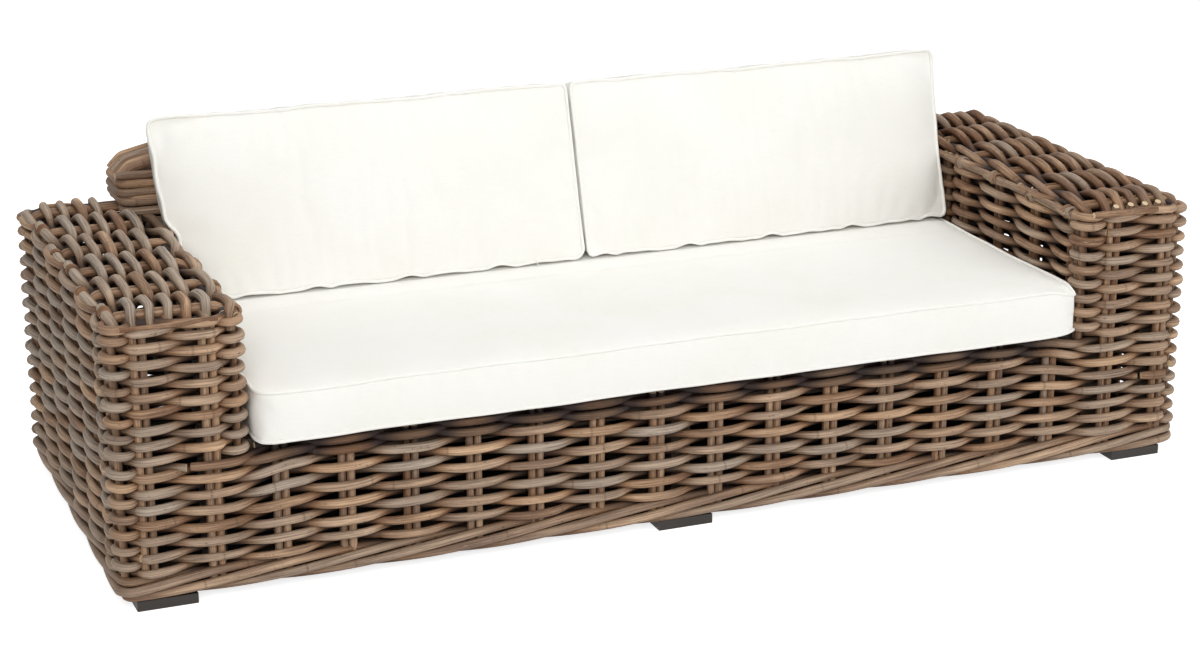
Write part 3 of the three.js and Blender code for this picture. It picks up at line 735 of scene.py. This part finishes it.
def edge_rods():
    """Poles below the arms' inner edges and the seat, their ties, and the rims of the arms' fronts."""
    poles, ties = Rods(), Rods()
    x, z = ARM_INNER + 12 * MM, ARM_TOP - 37 * MM
    for sign in (-1, 1):
        points = [(sign * x, -OUT_Y + 20 * MM, z), (sign * x, back_face(ARM_TOP), z)]
        bent_rod(poles, points, 24 * MM, 8 * MM, strand_tone(0.35, 0.3))
        for y in inner_pairs[: 3 if sign < 0 else 4]:
            for aside in (-7 * MM, 7 * MM):
                centre = np.array([sign * x, y + aside, z + 2 * MM])
                lash(ties, centre, (0.0, 1.0, 50 * aside), 2, 11.4 * MM, 3.3 * MM)
    ties.build("inner_lashings")
    left_rim = (-HALF_WIDTH + 34 * MM, -HALF_WIDTH + 214 * MM, 4.6 * MM)
    right_rim = (ARM_INNER + 26 * MM, HALF_WIDTH - 92 * MM, 7.0 * MM)
    for start, end, radius in (left_rim, right_rim):
        s = np.linspace(start, end, 20)
        height = ARM_TOP - 27 * MM + drift(s, 1.6 * MM, 0.3)
        poles.add(layers(s, -HALF_DEPTH + 6 * MM, height), radius, UP, (0.12, 0.0))
    s = np.linspace(-ARM_INNER + 8 * MM, ARM_INNER - 8 * MM, 180)
    centres = layers(s, -OUT_Y + 14 * MM, DECK - 10 * MM + drift(s, 1.0 * MM, 0.5))
    # The seat's pole is painted as lying 20 mm deep and dark: painted shade below the cushion.
    poles.add(centres, 8.5 * MM, UP, strand_tone(0.3, 0.2), (0, -1, 0), -20 * MM)
    poles.build("edge_poles")


def lash(rods, centre, along, turns=0, radius=10.8 * MM, thickness=1.7 * MM):
    """Thin peel wound tightly round a strand, a little unevenly."""
    turns = turns or int(random.integers(4, 7))
    pitch = 2.15 * thickness
    angle = np.linspace(0, 2 * math.pi * turns, 14 * turns) + random.uniform(0, 6)
    reach = pitch * turns * (np.linspace(0, 1, len(angle)) - 0.5) + 1.2 * MM * np.sin(angle * 0.7)
    along = unit(np.asarray(along))
    side = unit(np.cross(along, UP))
    over = np.cross(side, along)
    swell = radius + 0.7 * MM * np.sin(angle * 0.37 + 1)
    ring = side * (swell * np.cos(angle))[:, None] + over * (swell * np.sin(angle))[:, None]
    rods.add(centre + along * reach[:, None] + ring, thickness, along, strand_tone(0.45, 0.3), sides=6)


def pegs():
    """Ends of stakes that show between the columns at the right arm's front edge."""
    rods = Rods()
    for inset in (79, 113, 147, 181):
        x = HALF_WIDTH - inset * MM
        y = -HALF_DEPTH + random.uniform(19, 24) * MM
        top = ARM_TOP - random.uniform(14, 19) * MM
        centres = [(x, y + 18 * MM * t, top - 38 * MM * t) for t in np.linspace(0, 1, 5)]
        rods.add(centres, 7.2 * MM, (1, 0, 0), (0.5, random.uniform(0.3, 0.7)))
    rods.build("corner_pegs")


# Cushions


class Form:
    """A boxed cushion as a closed grid: a runs along its length, b across its face, c through it."""

    def __init__(self, half, radii, place, crown, bows, full_rear=False):
        """radii are those at a's two ends. bows say how far the seams draw in at a's ends, then b's."""
        self.counts = [max(4, round(2 * h / CELL)) for h in half]
        i, j, k = np.meshgrid(*(np.arange(n + 1) for n in self.counts), indexing="ij")
        na, nb, nc = self.counts
        skin = (i % na == 0) | (j % nb == 0) | (k % nc == 0)
        self.ids = np.full(i.shape, -1)
        self.ids[skin] = np.arange(skin.sum())
        share = [2 * grid[skin] / n - 1 for grid, n in zip((i, j, k), self.counts)]
        a, b, c = (s * h for s, h in zip(share, half))
        radius = np.where(a < 0, *radii)
        over_a, over_b = np.abs(a) - (half[0] - radius), np.abs(b) - (half[1] - radius)
        corner = (over_a > 0) & (over_b > 0)
        pull = np.where(corner, np.maximum(over_a, over_b) / np.maximum(np.hypot(over_a, over_b), 1e-9), 1)
        a = np.where(corner, np.sign(a) * (half[0] - radius + over_a * pull), a)
        b = np.where(corner, np.sign(b) * (half[1] - radius + over_b * pull), b)
        a -= share[0] * np.where(share[0] < 0, bows[0], bows[1]) * (1 - share[1] ** 2)
        b -= share[1] * np.where(share[1] < 0, bows[2], bows[3]) * (1 - share[0] ** 2)
        fall = np.where(full_rear & (share[1] > 0), 1, 1 - share[1] ** 4)
        face = np.where(share[2] < 0, crown[0], crown[1])
        c += np.sign(share[2]) * (np.abs(share[2]) > 0.999) * face * (1 - share[0] ** 4) * fall
        self.share = np.stack(share, axis=1)
        self.points = place(a, b, c, self.share)
        self.seams = self.seam(0), self.seam(-1)

    def quads(self):
        faces = []
        for axis in range(3):
            for end in (0, -1):
                layer = np.take(self.ids, end, axis=axis)
                quad = np.stack([layer[:-1, :-1], layer[1:, :-1], layer[1:, 1:], layer[:-1, 1:]], axis=-1)
                quad = quad.reshape(-1, 4)
                flip = (end == 0) != (axis == 1)
                faces.append(quad[:, ::-1] if flip else quad)
        return np.vstack(faces)

    def seam(self, end):
        """Vertex numbers of the seam round one face, in order."""
        layer = self.ids[:, :, end]
        return np.concatenate([layer[:-1, 0], layer[-1, :-1], layer[:0:-1, -1], layer[0, :0:-1]])


def puff(piece, pinned, pressure, cap, slack):
    """Blows a cover up from inside as cloth, and limits how far the points move that aren't pinned."""
    scene = bpy.context.scene
    group = piece.vertex_groups.new(name="pinned")
    group.add(np.flatnonzero(pinned).tolist(), 1.0, "REPLACE")
    cloth = piece.modifiers.new("cloth", "CLOTH")
    settings = cloth.settings
    settings.quality = 5
    settings.mass = 0.25
    settings.tension_stiffness = settings.compression_stiffness = 12
    settings.shear_stiffness = 4
    settings.bending_stiffness = 0.4
    settings.shrink_min = settings.shrink_max = -slack
    settings.vertex_group_mass = "pinned"
    settings.use_pressure = True
    settings.uniform_pressure_force = pressure
    settings.effector_weights.gravity = 0
    cloth.point_cache.frame_start, cloth.point_cache.frame_end = 1, FRAMES
    for moment in range(1, FRAMES + 1):
        scene.frame_set(moment)
    swollen = piece.evaluated_get(bpy.context.evaluated_depsgraph_get()).to_mesh()
    moved = np.empty(len(swollen.vertices) * 3)
    swollen.vertices.foreach_get("co", moved)
    rest = np.empty_like(moved)
    piece.data.vertices.foreach_get("co", rest)
    moved, rest = moved.reshape(-1, 3), rest.reshape(-1, 3)
    shift = moved - rest
    size = np.linalg.norm(shift, axis=1, keepdims=True)
    shift *= cap * np.tanh(size / cap) / np.maximum(size, 1e-9)
    piece.modifiers.remove(cloth)
    piece.vertex_groups.remove(group)
    scene.frame_set(1)
    return rest + shift


def sewn(body, form, handed, pinned, pressure, cap, slack, limit=None):
    """A cushion's cover from its form. Gives its points and seams."""
    mesh = bpy.data.meshes.new(body + "_canvas")
    mesh.from_pydata(form.points.tolist(), [], form.quads()[:, :: 1 if handed else -1].tolist())
    mesh.shade_smooth()
    mesh.materials.append(materials["canvas"])
    piece = put(body + "_canvas", mesh)
    pinned[np.concatenate(form.seams)] = True
    points = puff(piece, pinned, pressure, cap, slack)
    if limit:
        limit(points)
    mesh.vertices.foreach_set("co", points.ravel())
    mesh.update()
    soften = piece.modifiers.new("soften", "SUBSURF")
    soften.levels = soften.render_levels = 1
    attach(piece, body)
    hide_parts(body + "_cover", body + "_foam")
    return points, form.seams


def piping(loops, up, body):
    """Round covered cord along seams."""
    rods = Rods()
    for loop in loops:
        line = Line(loop, closed=True)
        rods.add(line.at(np.arange(0, line.length, 7 * MM)), PIPING, up, (0.5, 0.5), closed=True)
    rods.build(body + "_piping", (), body, "canvas")


def wander(points, size, wave, seed):
    """Smooth uneven offsets along a closed seam."""
    own = np.random.default_rng(seed)
    length = np.append(0, np.cumsum(np.linalg.norm(np.diff(points, axis=0), axis=1)))
    total = length[-1] + np.linalg.norm(points[0] - points[-1])
    out = np.zeros(len(points))
    turns = max(1, round(total / wave))
    for k in (turns, turns * 2 + 1, turns * 3 + 2):
        ripple = np.sin(2 * math.pi * k * length / total + own.uniform(0, 6.28))
        out += ripple * turns / k * own.uniform(0.6, 1.2)
    return size * out / 1.5


def seat_cushion():
    middle = DECK + CUSHION_GAP + SEAT_BOXING / 2
    front = seat_low[1] - 6 * MM
    length = back_face(middle) - 2 * MM - front
    half = (seat_high[0] - 2 * MM, length / 2, SEAT_BOXING / 2 - 1 * MM)
    spread_left, spread_right = -4 * MM, 17 * MM  # how far the front corners stand out
    fall, rise = -14 * MM, 5 * MM  # how far the right front corner's two seams bend together

    def place(a, b, c, share):
        z = middle + c
        lean = (back_face(z) - back_face(middle)) * (b / length + 0.5)
        ahead = np.clip(-share[:, 1] * 12 - 11, 0, 1)
        spread = spread_right * np.clip(share[:, 0] * 6 - 5, 0, 1)
        spread = spread + spread_left * np.clip(-share[:, 0] * 6 - 5, 0, 1)
        z = z + np.where(c > 0, fall, rise) * smooth(share[:, 0] * 11 - 10) * ahead
        return layers(a + spread * ahead, front + length / 2 + b + lean, z)

    def limit(points):
        """Keeps the cover below the back cushions and above the slats."""
        under = points[:, 1] > back_face(DECK) - FOOT_THICKNESS - 60 * MM
        points[:, 2] = np.where(under, np.minimum(points[:, 2], seat_high[2] - 1 * MM), points[:, 2])
        points[:, 2] = np.maximum(points[:, 2], DECK + CUSHION_GAP)

    form = Form(half, (42 * MM, 50 * MM), place, (0, 3 * MM), (1 * MM, 2 * MM, 4 * MM, 0), full_rear=True)
    for seed, seam in enumerate(form.seams):
        form.points[seam, 2] += wander(form.points[seam], 1.4 * MM, 0.5, seed)
        form.points[seam, 1] += wander(form.points[seam], 1.6 * MM, 0.6, seed + 5)
    pinned = (form.share[:, 2] < -0.999) | (form.share[:, 1] > 0.999)
    points, seams = sewn("seat_cushion", form, True, pinned, 3.0, 9 * MM, 0.006, limit)
    piping([points[seam] + UP * lift * PIPING for seam, lift in zip(seams, (1.6, -0.2))], UP, "seat_cushion")


def back_cushion(side):
    sign, flares, radii, bulge, wave = BACKS[side]
    reach = seat_high[0]
    gap = 3 * MM  # from the middle to a cushion's side
    half = ((reach - gap) / 2 - 2.5 * MM, BACK_RISE / 2 - PIPING, FOOT_THICKNESS / 2 - 1 * MM)
    centre_x = sign * (reach + gap) / 2
    centre_z = BACK_FOOT + BACK_RISE / 2

    def place(a, b, c, share):
        rise, depth = b / BACK_RISE + 0.5, c / FOOT_THICKNESS + 0.5
        z = centre_z + b - rise * depth * REAR_FALL
        thickness = FOOT_THICKNESS + (TOP_THICKNESS - FOOT_THICKNESS) * rise
        above = np.clip((z - ARM_TOP) / (BACK_FOOT + BACK_RISE - ARM_TOP), 0, None)
        reach_out = (flares[0] + (flares[1] - flares[0]) * depth) * above
        reach_out = reach_out + bulge * (1 - depth) * smooth((z - ARM_TOP + 44 * MM) / (40 * MM))
        flare = sign * reach_out * np.clip(sign * share[:, 0], 0, None)
        y = back_face(z) - CUSHION_GAP - thickness * (1 - depth)
        return layers(centre_x + a + flare, y, z)

    inner, outer, top = 1 * MM, 3 * MM, 3 * MM
    bows = (outer, inner, 0, top) if sign < 0 else (inner, outer, 0, top)
    form = Form(half, radii, place, (9 * MM, 0), bows)
    for seed, seam in enumerate(form.seams, 20 if sign < 0 else 27):
        away = np.clip((form.share[seam, 1] + 1) * 3, 0, 1)
        outward = np.clip(sign * form.share[seam, 0] * 4 - 3, 0, 1)
        form.points[seam, 0] += wander(form.points[seam], wave, 0.16, seed) * outward
        form.points[seam, 2] += wander(form.points[seam], 2.4 * MM, 0.3, seed + 3) * away
        form.points[seam, 2] += np.abs(wander(form.points[seam], 8.5 * MM, 0.2, seed + 9)) * (1 - away)
    pinned = (form.share[:, 2] > 0.999) | (form.share[:, 1] < -0.999)
    points, seams = sewn("back_cushion_" + side, form, False, pinned, 4.5, 26 * MM, 0.014)
    loops = [points[seam] for seam in seams]
    for loop in loops:
        loop[:, 2] = np.maximum(loop[:, 2], BACK_FOOT + PIPING)
    piping(loops, (0, 1, 0), "back_cushion_" + side)
    if sign < 0:
        loose_thread(loops[0])


def loose_thread(seam):
    """The piping's thread end that hangs from the left cushion's front foot seam."""
    foot = seam[np.hypot(seam[:, 0] - THREAD_X, (seam[:, 2] - BACK_FOOT) * 2).argmin()]
    path = [(0, 0, 4), (0.4, -1.2, 0), (-0.3, -2.6, -4), (0.6, -5, -8.5), (1.2, -9, -9.2)]
    line = Line(foot + np.array([0, -PIPING, PIPING]) + np.array(path) * MM)
    rods = Rods()
    rods.add(line.at(np.linspace(0, line.length, 14)), 1.1 * MM, (1, 0, 0), (0.5, 0.5), sides=6)
    rods.build("back_cushion_left_thread", (), "back_cushion_left", "canvas")


# Zips


def zip_fastener(body, place, across, out, half_length):
    """A ribbed tape, two rows of teeth, a slider and its pull, along X."""
    place, across, out = (np.asarray(v, float) for v in (place, across, out))
    ahead = np.array([1.0, 0.0, 0.0])
    tone = (0.5, 0.5)

    def run(aside, rise, start, end, step):
        x = np.linspace(start, end, max(2, int((end - start) / step)))
        return place + np.outer(x, ahead) + across * aside + out * rise

    tape, teeth, slider = Rods(), Rods(), Rods()
    for aside in (1.5, 2.4, 3.3, 4.2, 5.1):
        for sign in (-1, 1):
            rib = run(sign * aside * MM, 0.1 * MM, -half_length, half_length, 20 * MM)
            tape.add(rib, ZIP_WIRE, out, tone, sides=6)
    reach = half_length - 8 * MM
    for number, x in enumerate(np.arange(-reach, reach, TOOTH_PITCH / 2)):
        sign = 1 if number % 2 else -1
        root = place + ahead * x + out * 0.9 * MM
        tooth = [root - across * sign * 0.7 * MM, root + across * sign * 1.9 * MM]
        teeth.add(tooth, ZIP_WIRE, out, (0.6, 0.5), sides=5)
    head = reach - 6 * MM
    for aside in (-1.5, 0.0, 1.5):
        bar = run(aside * MM, 1.6 * MM, head - 5 * MM, head + 5 * MM, 2 * MM)
        slider.add(bar, 1.1 * MM, out, tone, sides=8)
    loop = [(0, -1.6), (-16, -1.9), (-17.5, 0), (-16, 1.9), (0, 1.6)]
    pull = [place + ahead * (head + x * MM) + across * y * MM + out * 2.5 * MM for x, y in loop]
    slider.add(pull, 0.6 * MM, out, tone, sides=6, closed=True)
    tape.build(body + "_zip_tape", (body + "_zip",), body, "zip")
    teeth.build(body + "_zip_teeth", (), body, "zip")
    slider.build(body + "_zip_slider", (), body, "zip", "zip_metal")


def zips():
    """The seat cushion's zip is in its rear strip, the back cushions' are in their undersides."""
    low, high = (np.array(corner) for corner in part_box("seat_cushion_zip"))
    z = (low[2] + high[2]) / 2
    lean = unit(np.array([0.0, LEAN, 1.0]))
    place = (0, back_face(z) - 2 * MM, z)
    zip_fastener("seat_cushion", place, lean, (0, lean[2], -lean[1]), high[0])
    for body in ("back_cushion_left", "back_cushion_right"):
        low, high = (np.array(corner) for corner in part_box(body + "_zip"))
        place = ((low[0] + high[0]) / 2, (low[1] + high[1]) / 2, BACK_FOOT + PIPING - 0.2 * MM)
        zip_fastener(body, place, (0, 1, 0), (0, 0, -1), (high[0] - low[0]) / 2)


# Materials


def linear(hexed):
    """Scene colour of an sRGB hex string."""
    values = [int(hexed[i : i + 2], 16) / 255 for i in (0, 2, 4)]
    return [v / 12.92 if v <= 0.04045 else ((v + 0.055) / 1.055) ** 2.4 for v in values] + [1.0]


class Nodes:
    """Adds nodes to a tree. A value is a number, a colour, a hex string or another node's socket."""

    def __init__(self, tree):
        self.tree = tree

    def feed(self, socket, value):
        if isinstance(value, bpy.types.NodeSocket):
            self.tree.links.new(value, socket)
        else:
            socket.default_value = linear(value) if isinstance(value, str) else value

    def add(self, kind, inputs=()):
        made = self.tree.nodes.new("ShaderNode" + kind)
        for key, value in dict(inputs).items():
            self.feed(made.inputs[key], value)
        return made

    def attribute(self, name):
        made = self.add("Attribute")
        made.attribute_name = name
        return made.outputs

    def maths(self, operation, a, b=0.0):
        made = self.add("Math", {0: a, 1: b})
        made.operation = operation
        return made.outputs[0]

    def mix(self, factor, a, b, blend="MIX"):
        made = self.add("Mix")
        made.data_type = "RGBA"
        made.blend_type = blend
        for number, value in ((0, factor), (6, a), (7, b)):
            self.feed(made.inputs[number], value)
        return made.outputs[2]

    def ranged(self, factor, low, high, first=0.0, last=1.0):
        """Maps low..high of a factor to first..last."""
        ends = {"From Min": low, "From Max": high, "To Min": first, "To Max": last}
        return self.add("MapRange", {"Value": factor, **ends}).outputs["Result"]

    def place(self, scale, source="rod"):
        """Coordinates for a texture: along a rod and across it, or the object's own."""
        rod = source == "rod"
        vector = self.attribute("rod")["Vector"] if rod else self.add("TexCoord").outputs["Object"]
        return self.add("Mapping", {"Vector": vector, "Scale": scale}).outputs[0]

    def noise(self, scale, detail, roughness=0.55, source="rod"):
        sizes = {"Scale": 1.0, "Detail": detail, "Roughness": roughness}
        return self.add("TexNoise", {"Vector": self.place(scale, source), **sizes}).outputs["Fac"]

    def bump(self, height, strength, distance, normal=None):
        made = self.add("Bump", {"Strength": strength, "Distance": distance, "Height": height})
        if normal:
            self.feed(made.inputs["Normal"], normal)
        return made.outputs[0]


def new_material(name, looks):
    """A material whose looks, made by a function, are values for its shader."""
    material = bpy.data.materials.new(name)
    material.use_nodes = True
    nodes = Nodes(material.node_tree)
    shader = nodes.tree.nodes["Principled BSDF"]
    for socket, value in looks(nodes).items():
        nodes.feed(shader.inputs[socket], value)
    return material


def rattan_material(name, dark, pale, grey, cut, roughness):
    """Weathered cane: a tone for every strand, grain, blotches, scuffs, nodes, pale cut ends, and painted
    shade where a strand lies deep in the weave.
    """

    def looks(nodes):
        tone = nodes.attribute("tone")
        light, weathering, shade_and_bleach = nodes.add("SeparateColor", {0: tone["Color"]}).outputs[:3]
        grain = nodes.noise((9, 380, 380), 5.0, 0.66)
        blotch = nodes.noise((11, 60, 60), 4.0, 0.65)
        patch = nodes.noise((4, 14, 14), 2.0)
        scuff = nodes.noise((45, 240, 240), 4.0, 0.7)
        speck = nodes.noise((110, 170, 170), 3.0, 0.6)
        ring = cane_rings(nodes)
        streaks = nodes.mix(nodes.ranged(grain, 0.32, 0.6), "46301f", "ffffff")
        colour = nodes.mix(light, dark, pale)
        for factor, *top in (
            (nodes.ranged(blotch, 0.4, 0.72), pale),
            (nodes.ranged(patch, 0.34, 0.6, 0.8, 0.0), dark),
            (weathering, grey),
            (0.75, streaks, "MULTIPLY"),
            (nodes.ranged(scuff, 0.6, 0.78, 0.0, 0.6), "d6bf9f"),
            (nodes.ranged(speck, 0.64, 0.72, 0.0, 0.6), "3d2a1c"),
            # painted shade deep in the weave and on inward sides, paler outer faces
            (1.0, painted_depth_shade(nodes, shade_and_bleach), "MULTIPLY"),
            (nodes.ranged(ring, 0, 1, 0, 0.4), "4a3828"),
            (tone["Alpha"], cut),
        ):
            colour = nodes.mix(factor, colour, *top)
        return {
            "Base Color": colour,
            "Roughness": nodes.ranged(grain, 0.1, 0.9, roughness - 0.1, roughness + 0.15),
            "Normal": nodes.bump(ring, 0.5, 0.0012, nodes.bump(grain, 0.5, 0.0012)),
            "Specular IOR Level": 0.3,
        }

    return new_material(name, looks)


def painted_depth_shade(nodes, shade_and_bleach):
    """Multiplies a strand's colour: painted shade inside the weave, and a paler outside that is partly
    bleaching and partly painted light.
    """
    made = nodes.add("ValToRGB", {"Fac": shade_and_bleach})
    elements = made.color_ramp.elements
    elements.new(0.5)
    # The ramp runs from painted shade through a mid tone to no change.
    for element, place, colour in zip(elements, (0.0, 0.5, 1.0), ("2d180d", "c2b1a1", "ffffff")):
        element.position = place
        element.color = linear(colour)
    return made.outputs["Color"]


def cane_rings(nodes):
    """Nodes of the cane: soft rings at uneven distances along a strand."""
    along = nodes.add("SeparateXYZ", {0: nodes.attribute("rod")["Vector"]}).outputs[0]
    cells = nodes.add("TexVoronoi")
    cells.voronoi_dimensions = "1D"
    cells.feature = "DISTANCE_TO_EDGE"
    nodes.feed(cells.inputs["Scale"], 2.4)
    nodes.feed(cells.inputs["W"], along)
    return nodes.ranged(cells.outputs["Distance"], 0.009, 0.0)


def canvas_looks(nodes):
    """Undyed cotton canvas: a plain weave, slubs, and a faint warm unevenness."""
    weave = 0.0
    for axis in ("X", "Y", "Z"):
        sizes = {"Scale": THREADS, "Distortion": 1.5, "Detail": 1.0}
        bands = nodes.add("TexWave", {"Vector": nodes.place((1, 1, 1), "object"), **sizes})
        bands.bands_direction = axis
        weave = nodes.maths("ADD", weave, bands.outputs["Fac"])
    slubs = [nodes.noise(scale, 3.0, source="object") for scale in ((40, 900, 900), (900, 40, 900))]
    slubs = nodes.maths("ADD", *slubs)
    cloud = nodes.noise((5, 5, 5), 3.0, source="object")
    colour = nodes.mix(nodes.ranged(cloud, 0.35, 0.7), "f6f5f1", "f3f2eb")
    return {
        "Base Color": nodes.mix(nodes.ranged(slubs, 1.05, 1.4, 0.0, 0.35), colour, "e6dcc6"),
        "Roughness": 0.95,
        "Specular IOR Level": 0.1,
        "Sheen Weight": 0.08,
        "Normal": nodes.bump(slubs, 0.4, 0.0004, nodes.bump(weave, 0.35, 0.0003)),
    }


def timber_material(name, dark, pale, roughness):
    def looks(nodes):
        grain = nodes.noise((6, 60, 60), 6.0, 0.6, "object")
        colour = nodes.mix(nodes.ranged(grain, 0.3, 0.7), dark, pale)
        return {"Base Color": colour, "Roughness": roughness, "Normal": nodes.bump(grain, 0.3, 0.001)}

    return new_material(name, looks)


def repaint(endings, material):
    """Gives carried-over CAD nodes their finish."""
    for name, piece in frame["nodes"].items():
        if name.endswith(endings):
            piece.data.materials.clear()
            piece.data.materials.append(material)


# Setting


def camera():
    """The photograph's view, worked out from the sofa's corners."""
    data = bpy.data.cameras.new("camera")
    data.lens = CAMERA_LENS
    data.sensor_width = 36
    data.clip_end = 60
    viewer = put("camera", data)
    yaw, pitch, roll = (math.radians(angle) for angle in CAMERA_TURN)
    ahead = Vector((math.sin(yaw) * math.cos(pitch), math.cos(yaw) * math.cos(pitch), math.sin(pitch)))
    level = Vector((math.cos(yaw), -math.sin(yaw), 0))
    right = level * math.cos(roll) + level.cross(ahead) * math.sin(roll)
    turn = Matrix((right, right.cross(ahead), -ahead)).transposed().to_4x4()
    viewer.matrix_world = Matrix.Translation(CAMERA_PLACE) @ turn
    bpy.context.scene.camera = viewer


def shown_rays(nodes):
    """1 for what the camera sees, also reflected or through glass, 0 for light on the object."""
    rays = nodes.add("LightPath").outputs
    seen = nodes.maths("MAXIMUM", rays["Is Camera Ray"], rays["Is Glossy Ray"])
    return nodes.maths("MAXIMUM", seen, rays["Is Transmission Ray"])


def beside_sofa(nodes):
    """0 on the floor under the sofa, where it is painted dark as shadow and does not glow, 1 beside it."""
    place = nodes.add("SeparateXYZ", {0: nodes.add("TexCoord").outputs["Object"]}).outputs
    shares = []
    for along, reach in ((place[0], HALF_WIDTH), (place[1], HALF_DEPTH)):
        distance = nodes.maths("ABSOLUTE", nodes.maths("SUBTRACT", along, SEEN_UNDER / 2))
        reach -= SEEN_UNDER / 2 + 5 * MM
        shares.append(nodes.ranged(distance, reach - 25 * MM, reach))
    return nodes.maths("MAXIMUM", *shares)


def floor_looks(nodes):
    beside = beside_sofa(nodes)
    glow = nodes.ranged(shown_rays(nodes), 0, 1, 0, FLOOR_GLOW)
    return {
        # Nearly black under the sofa: painted shadow.
        "Base Color": nodes.mix(beside, (0.03, 0.03, 0.03, 1), (0.9, 0.9, 0.9, 1)),
        "Roughness": 0.9,
        "Specular IOR Level": 0.0,
        "Emission Color": (1, 1, 1, 1),
        "Emission Strength": nodes.maths("MULTIPLY", glow, beside),
    }


def floor():
    """A pale floor that shows nearly white and keeps the sofa's shadow; under the sofa it is painted nearly
    black as painted shadow.
    """
    corners = [(x * FLOOR_HALF, y * FLOOR_HALF, 0) for x, y in ((-1, -1), (1, -1), (1, 1), (-1, 1))]
    mesh = bpy.data.meshes.new("floor")
    mesh.from_pydata(corners, [], [(0, 1, 2, 3)])
    mesh.materials.append(new_material("floor", floor_looks))
    put("floor", mesh)


def lights():
    world = bpy.data.worlds.new("world")
    bpy.context.scene.world = world
    world.use_nodes = True
    nodes = Nodes(world.node_tree)
    background = nodes.tree.nodes["Background"]
    nodes.feed(background.inputs["Color"], (1, 1, 1, 1))
    nodes.feed(background.inputs["Strength"], nodes.ranged(shown_rays(nodes), 0, 1, WORLD_LEVEL, 1))
    for name, place, size, power in LAMPS:
        data = bpy.data.lights.new(name, "AREA")
        data.size = size
        data.energy = power
        lamp = put(name, data)
        lamp.location = place
        lamp.rotation_euler = (Vector(LIT_POINT) - Vector(place)).to_track_quat("-Z", "Y").to_euler()


camera()
floor()
lights()
materials = {
    "rattan": rattan_material("rattan", "78533a", "e5c09b", "b6a695", "d1bb99", 0.6),
    "peel": rattan_material("peel", "7a5234", "b08257", "9a7a58", "c9a877", 0.4),
    "canvas": new_material("canvas", canvas_looks),
    "zip": timber_material("zip", "d6d0bf", "e6e1d2", 0.8),
    "zip_metal": timber_material("zip_metal", "8f8d88", "a8a6a0", 0.35),
}
weave_rows()
bottom_border()
wall_stakes()
arm_columns()
back_columns()
back_wraps()
edge_rods()
pegs()
seat_cushion()
back_cushion("left")
back_cushion("right")
zips()
slats = tuple("_slat_" + str(number) for number in range(1, 7))
repaint(("_foot",), timber_material("dark_wood", "17120e", "2b231c", 0.55))
# The frame's timber is painted far darker than its own wood so that the gaps in the weave look like shade:
# painted shade.
repaint(("_rail", "_post", "_crossrail") + slats, timber_material("timber", "33261b", "4a3929", 0.7))

bpy.context.scene.view_settings.view_transform = "Standard"
